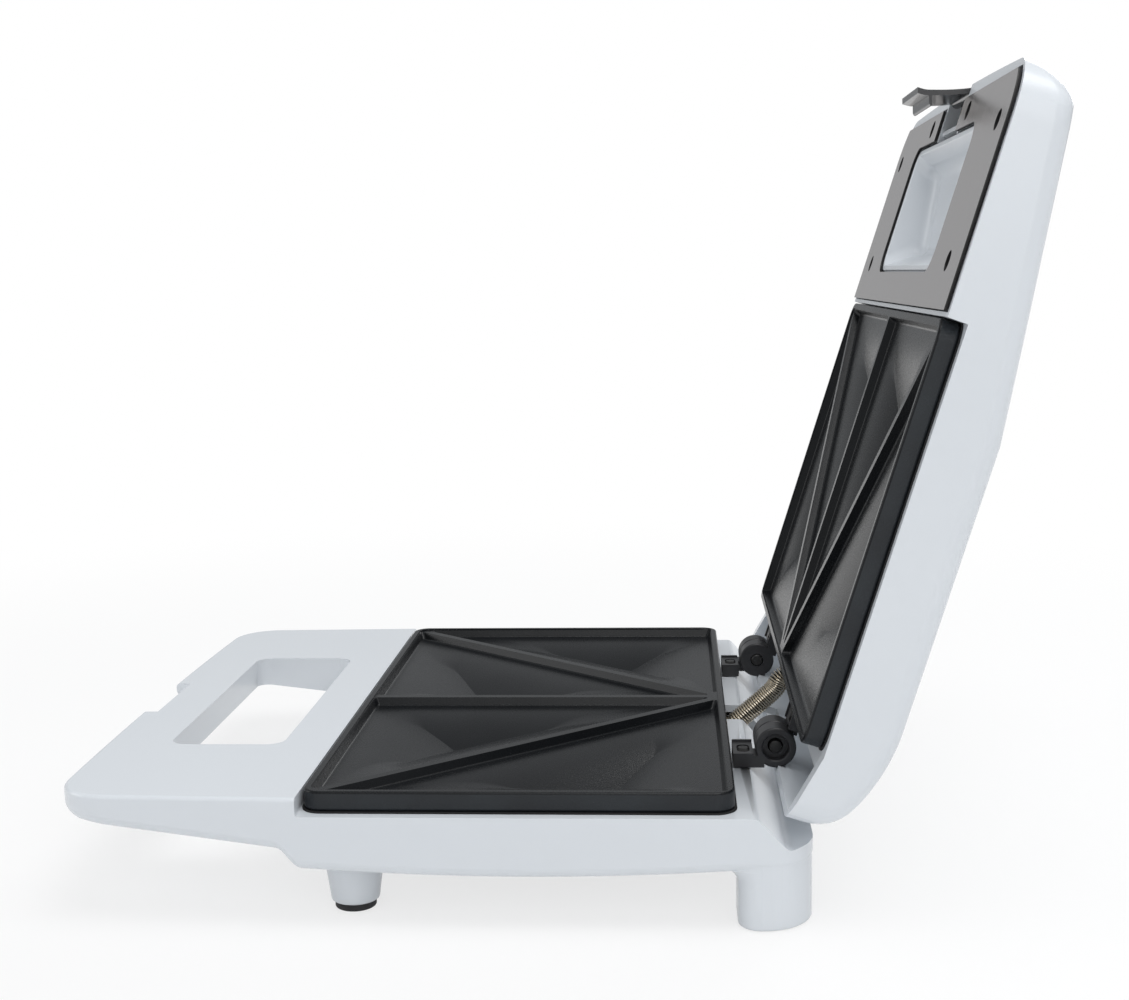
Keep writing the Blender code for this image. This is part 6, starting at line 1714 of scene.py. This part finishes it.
class Latch(Maker):
    """The smoked latch: barrel, slightly bowed blade, hook and a flared finger lip."""

    sizes = LatchSizes()

    def build(self) -> None:
        """Makes the latch."""
        t = self.sizes
        back, bow = t.back, t.bow
        front = back - t.thick
        stations = [k / 10 for k in range(11)]
        tip = -t.length
        neck = tip + t.flare
        outer = [(front + bow * math.sin(math.pi * k), back + (neck - back) * k) for k in stations]
        inner = [(back + bow * math.sin(math.pi * k) * t.inner_bow, -t.hook_from * (1 - k)) for k in stations[:-1]]
        flare = [(t.lip * (1 - math.cos(math.pi / 2 * k)), t.flare * k) for k in (0.0, 0.25, 0.5, 0.75, 1.0)]
        outer = outer[:-1] + [(front - out, neck - along) for out, along in flare]
        rear = [(back - out * t.rear_flare, neck - along) for out, along in reversed(flare)]
        hook = [(back + out * t.hook_reach, -t.hook_from - down * t.hook_thick) for out, down in t.hook_shares]
        hook += [(back + t.back, -t.hook_from)]
        outline = outer + rear + hook + inner
        shape = prism(outline, -t.half, t.half, "X")
        round_edges(shape, t.edge, 2)
        barrel = lathe([(t.barrel - t.edge, -t.half), (t.barrel, -t.half + t.edge), (t.barrel, t.half - t.edge),
                        (t.barrel - t.edge, t.half)], axis=RIGHT, steps=32)
        shape = carve(shape, [barrel], Carving.ADD)
        shape = carve(shape, [drill(t.bore, -1.25 * t.half, 1.25 * t.half, steps=20, axis=RIGHT)], Carving.REMOVE)
        self.workshop.deliver("latch_blade", shape, "smoked_plastic", Body.LATCH, ("latch",), DATUM.latch())


class Carried:
    """The CAD pieces whose shapes stay: each gets its finish from its slot, or one of its own."""

    OWN = {"handle_plate_screw": "blackened_steel_and_gap_shade", "latch_pin": "blackened_steel_and_gap_shade",
           "base_hinge_screw": "blackened_steel_and_gap_shade", "lid_hinge_screw": "blackened_steel_and_gap_shade"}

    def __init__(self, finishes: Finishes) -> None:
        """Keeps the finishes."""
        self.finishes = finishes

    def dress(self) -> None:
        """Gives every carried piece its finish."""
        for name, node in sorted(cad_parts.items()):
            for place in node.material_slots:
                wanted = place.material.name.split(".")[0] if place.material else "white_plastic"
                for start, other in self.OWN.items():
                    if name.startswith(start):
                        wanted = other
                if wanted in self.finishes.made:
                    place.material = self.finishes[wanted]
            log.info("%s keeps its shape", name)


# Studio


@dataclass(frozen=True)
class CameraSizes:
    """Where the photograph was taken from."""

    place: tuple[float, float, float] = (0.5610, 0.0388, 0.1875)
    pitch: float = 0.138
    yaw: float = -0.068
    roll: float = -0.018
    focal: float = 1632.6
    width: float = 1129.0
    sensor: float = 36.0


class Studio:
    """Floor, soft lights, sky and camera."""

    sizes = CameraSizes()
    LAMPS = (("top", (0.25, 0.30, 1.35), (0.0, 0.0, 0.05), 0.9, 10.0),
             ("side", (1.45, 0.25, 0.80), (0.0, 0.05, 0.10), 1.0, 6.2),
             ("front", (0.10, -1.60, 0.55), (0.0, 0.10, 0.20), 0.8, 4.5),
             ("back", (-1.20, 0.70, 0.75), (0.0, 0.0, 0.05), 0.7, 6.0))

    def build(self) -> None:
        """Sets everything round the object."""
        self._floor()
        self._sky()
        for lamp in self.LAMPS:
            self._lamp(*lamp)
        self._camera()
        bpy.context.scene.view_settings.view_transform = "Standard"

    def _floor(self) -> None:
        """A plain pale floor that is nearly white to the camera and keeps the object's shadow."""
        shape = bmesh.new()
        bmesh.ops.create_grid(shape, x_segments=1, y_segments=1, size=30.0)
        floor = _loose(shape, "floor")
        material, tree = blank("pale_floor")
        tree.set("shader", Roughness=0.9, Specular_IOR_Level=0.1, Base_Color=(0.86, 0.86, 0.86, 1))
        tree.add("glow", "ShaderNodeEmission", {"Color": (1, 1, 1, 1)})
        tree.add("path", "ShaderNodeLightPath")
        tree.add("first", "ShaderNodeMath", operation="MAXIMUM")
        tree.add("second", "ShaderNodeMath", operation="MAXIMUM")
        tree.add("place", "ShaderNodeTexCoord")
        tree.add("reach", "ShaderNodeVectorMath", operation="LENGTH")
        tree.add("fade", "ShaderNodeMapRange", {"From Min": 0.22, "From Max": 0.70, "To Min": 0.72, "To Max": 1.0},
                 interpolation_type="SMOOTHSTEP")
        tree.add("share", "ShaderNodeMath", operation="MULTIPLY")
        tree.add("mix", "ShaderNodeMixShader")
        tree.wire("place.Object>reach.0 reach.Value>fade.Value fade.Result>share.1 path.Is_Camera_Ray>first.0 "
                  "path.Is_Glossy_Ray>first.1 first.0>second.0 path.Is_Transmission_Ray>second.1 "
                  "second.0>share.0 share.0>mix.0 shader.0>mix.1 glow.0>mix.2 mix.0>out.Surface")
        floor.data.materials.append(material)
        floor.location.z = -0.0002

    def _sky(self) -> None:
        """An even pale surround that the camera sees as white."""
        world = bpy.data.worlds.new("studio")
        bpy.context.scene.world = world
        world.use_nodes = True
        tree = Tree(world.node_tree, light="Background", out="World Output")
        tree.set("light", Color=(0.95, 0.975, 1.0, 1), Strength=0.43)
        tree.add("white", "ShaderNodeBackground", {"Color": (1, 1, 1, 1), "Strength": 1.0})
        tree.add("path", "ShaderNodeLightPath")
        tree.add("mix", "ShaderNodeMixShader")
        tree.wire("path.Is_Camera_Ray>mix.0 light.0>mix.1 white.0>mix.2 mix.0>out.Surface")

    @staticmethod
    def _lamp(name: str, place: Sequence[float], aim: Sequence[float], size: float, power: float) -> None:
        """A square soft light that looks at a point."""
        data = bpy.data.lights.new(name, "AREA")
        data.size = size
        data.energy = power
        lamp = bpy.data.objects.new(name, data)
        bpy.context.scene.collection.objects.link(lamp)
        lamp.location = place
        lamp.rotation_euler = (Vector(aim) - Vector(place)).to_track_quat("-Z", "Y").to_euler()

    def _camera(self) -> None:
        """The photograph's camera."""
        c = self.sizes
        forward = Vector((-math.cos(c.pitch) * math.cos(c.yaw), math.cos(c.pitch) * math.sin(c.yaw),
                          -math.sin(c.pitch)))
        right = forward.cross(Vector((0, 0, 1))).normalized()
        up = right.cross(forward).normalized()
        turned_right = right * math.cos(c.roll) + up * math.sin(c.roll)
        turned_up = -right * math.sin(c.roll) + up * math.cos(c.roll)
        data = bpy.data.cameras.new("camera")
        data.sensor_width = c.sensor
        data.lens = c.focal * c.sensor / c.width
        data.clip_start = 0.01
        camera = bpy.data.objects.new("camera", data)
        bpy.context.scene.collection.objects.link(camera)
        turn = Matrix((turned_right, turned_up, -forward)).transposed().to_4x4()
        camera.matrix_world = Matrix.Translation(c.place) @ turn
        bpy.context.scene.camera = camera


def main() -> None:
    """Builds each sub-assembly in order."""
    logging.basicConfig(level=logging.INFO, format="%(message)s")
    Studio().build()
    finishes = Finishes()
    workshop = Workshop(finishes)
    Carried(finishes).dress()
    Base(workshop).build()
    CookingPlate(workshop, upper=False).build()
    CookingPlate(workshop, upper=True).build()
    Hinges(workshop).build()
    Conduit(workshop).build()
    Lid(workshop).build()
    Latch(workshop).build()


if __name__ == "__main__":
    main()
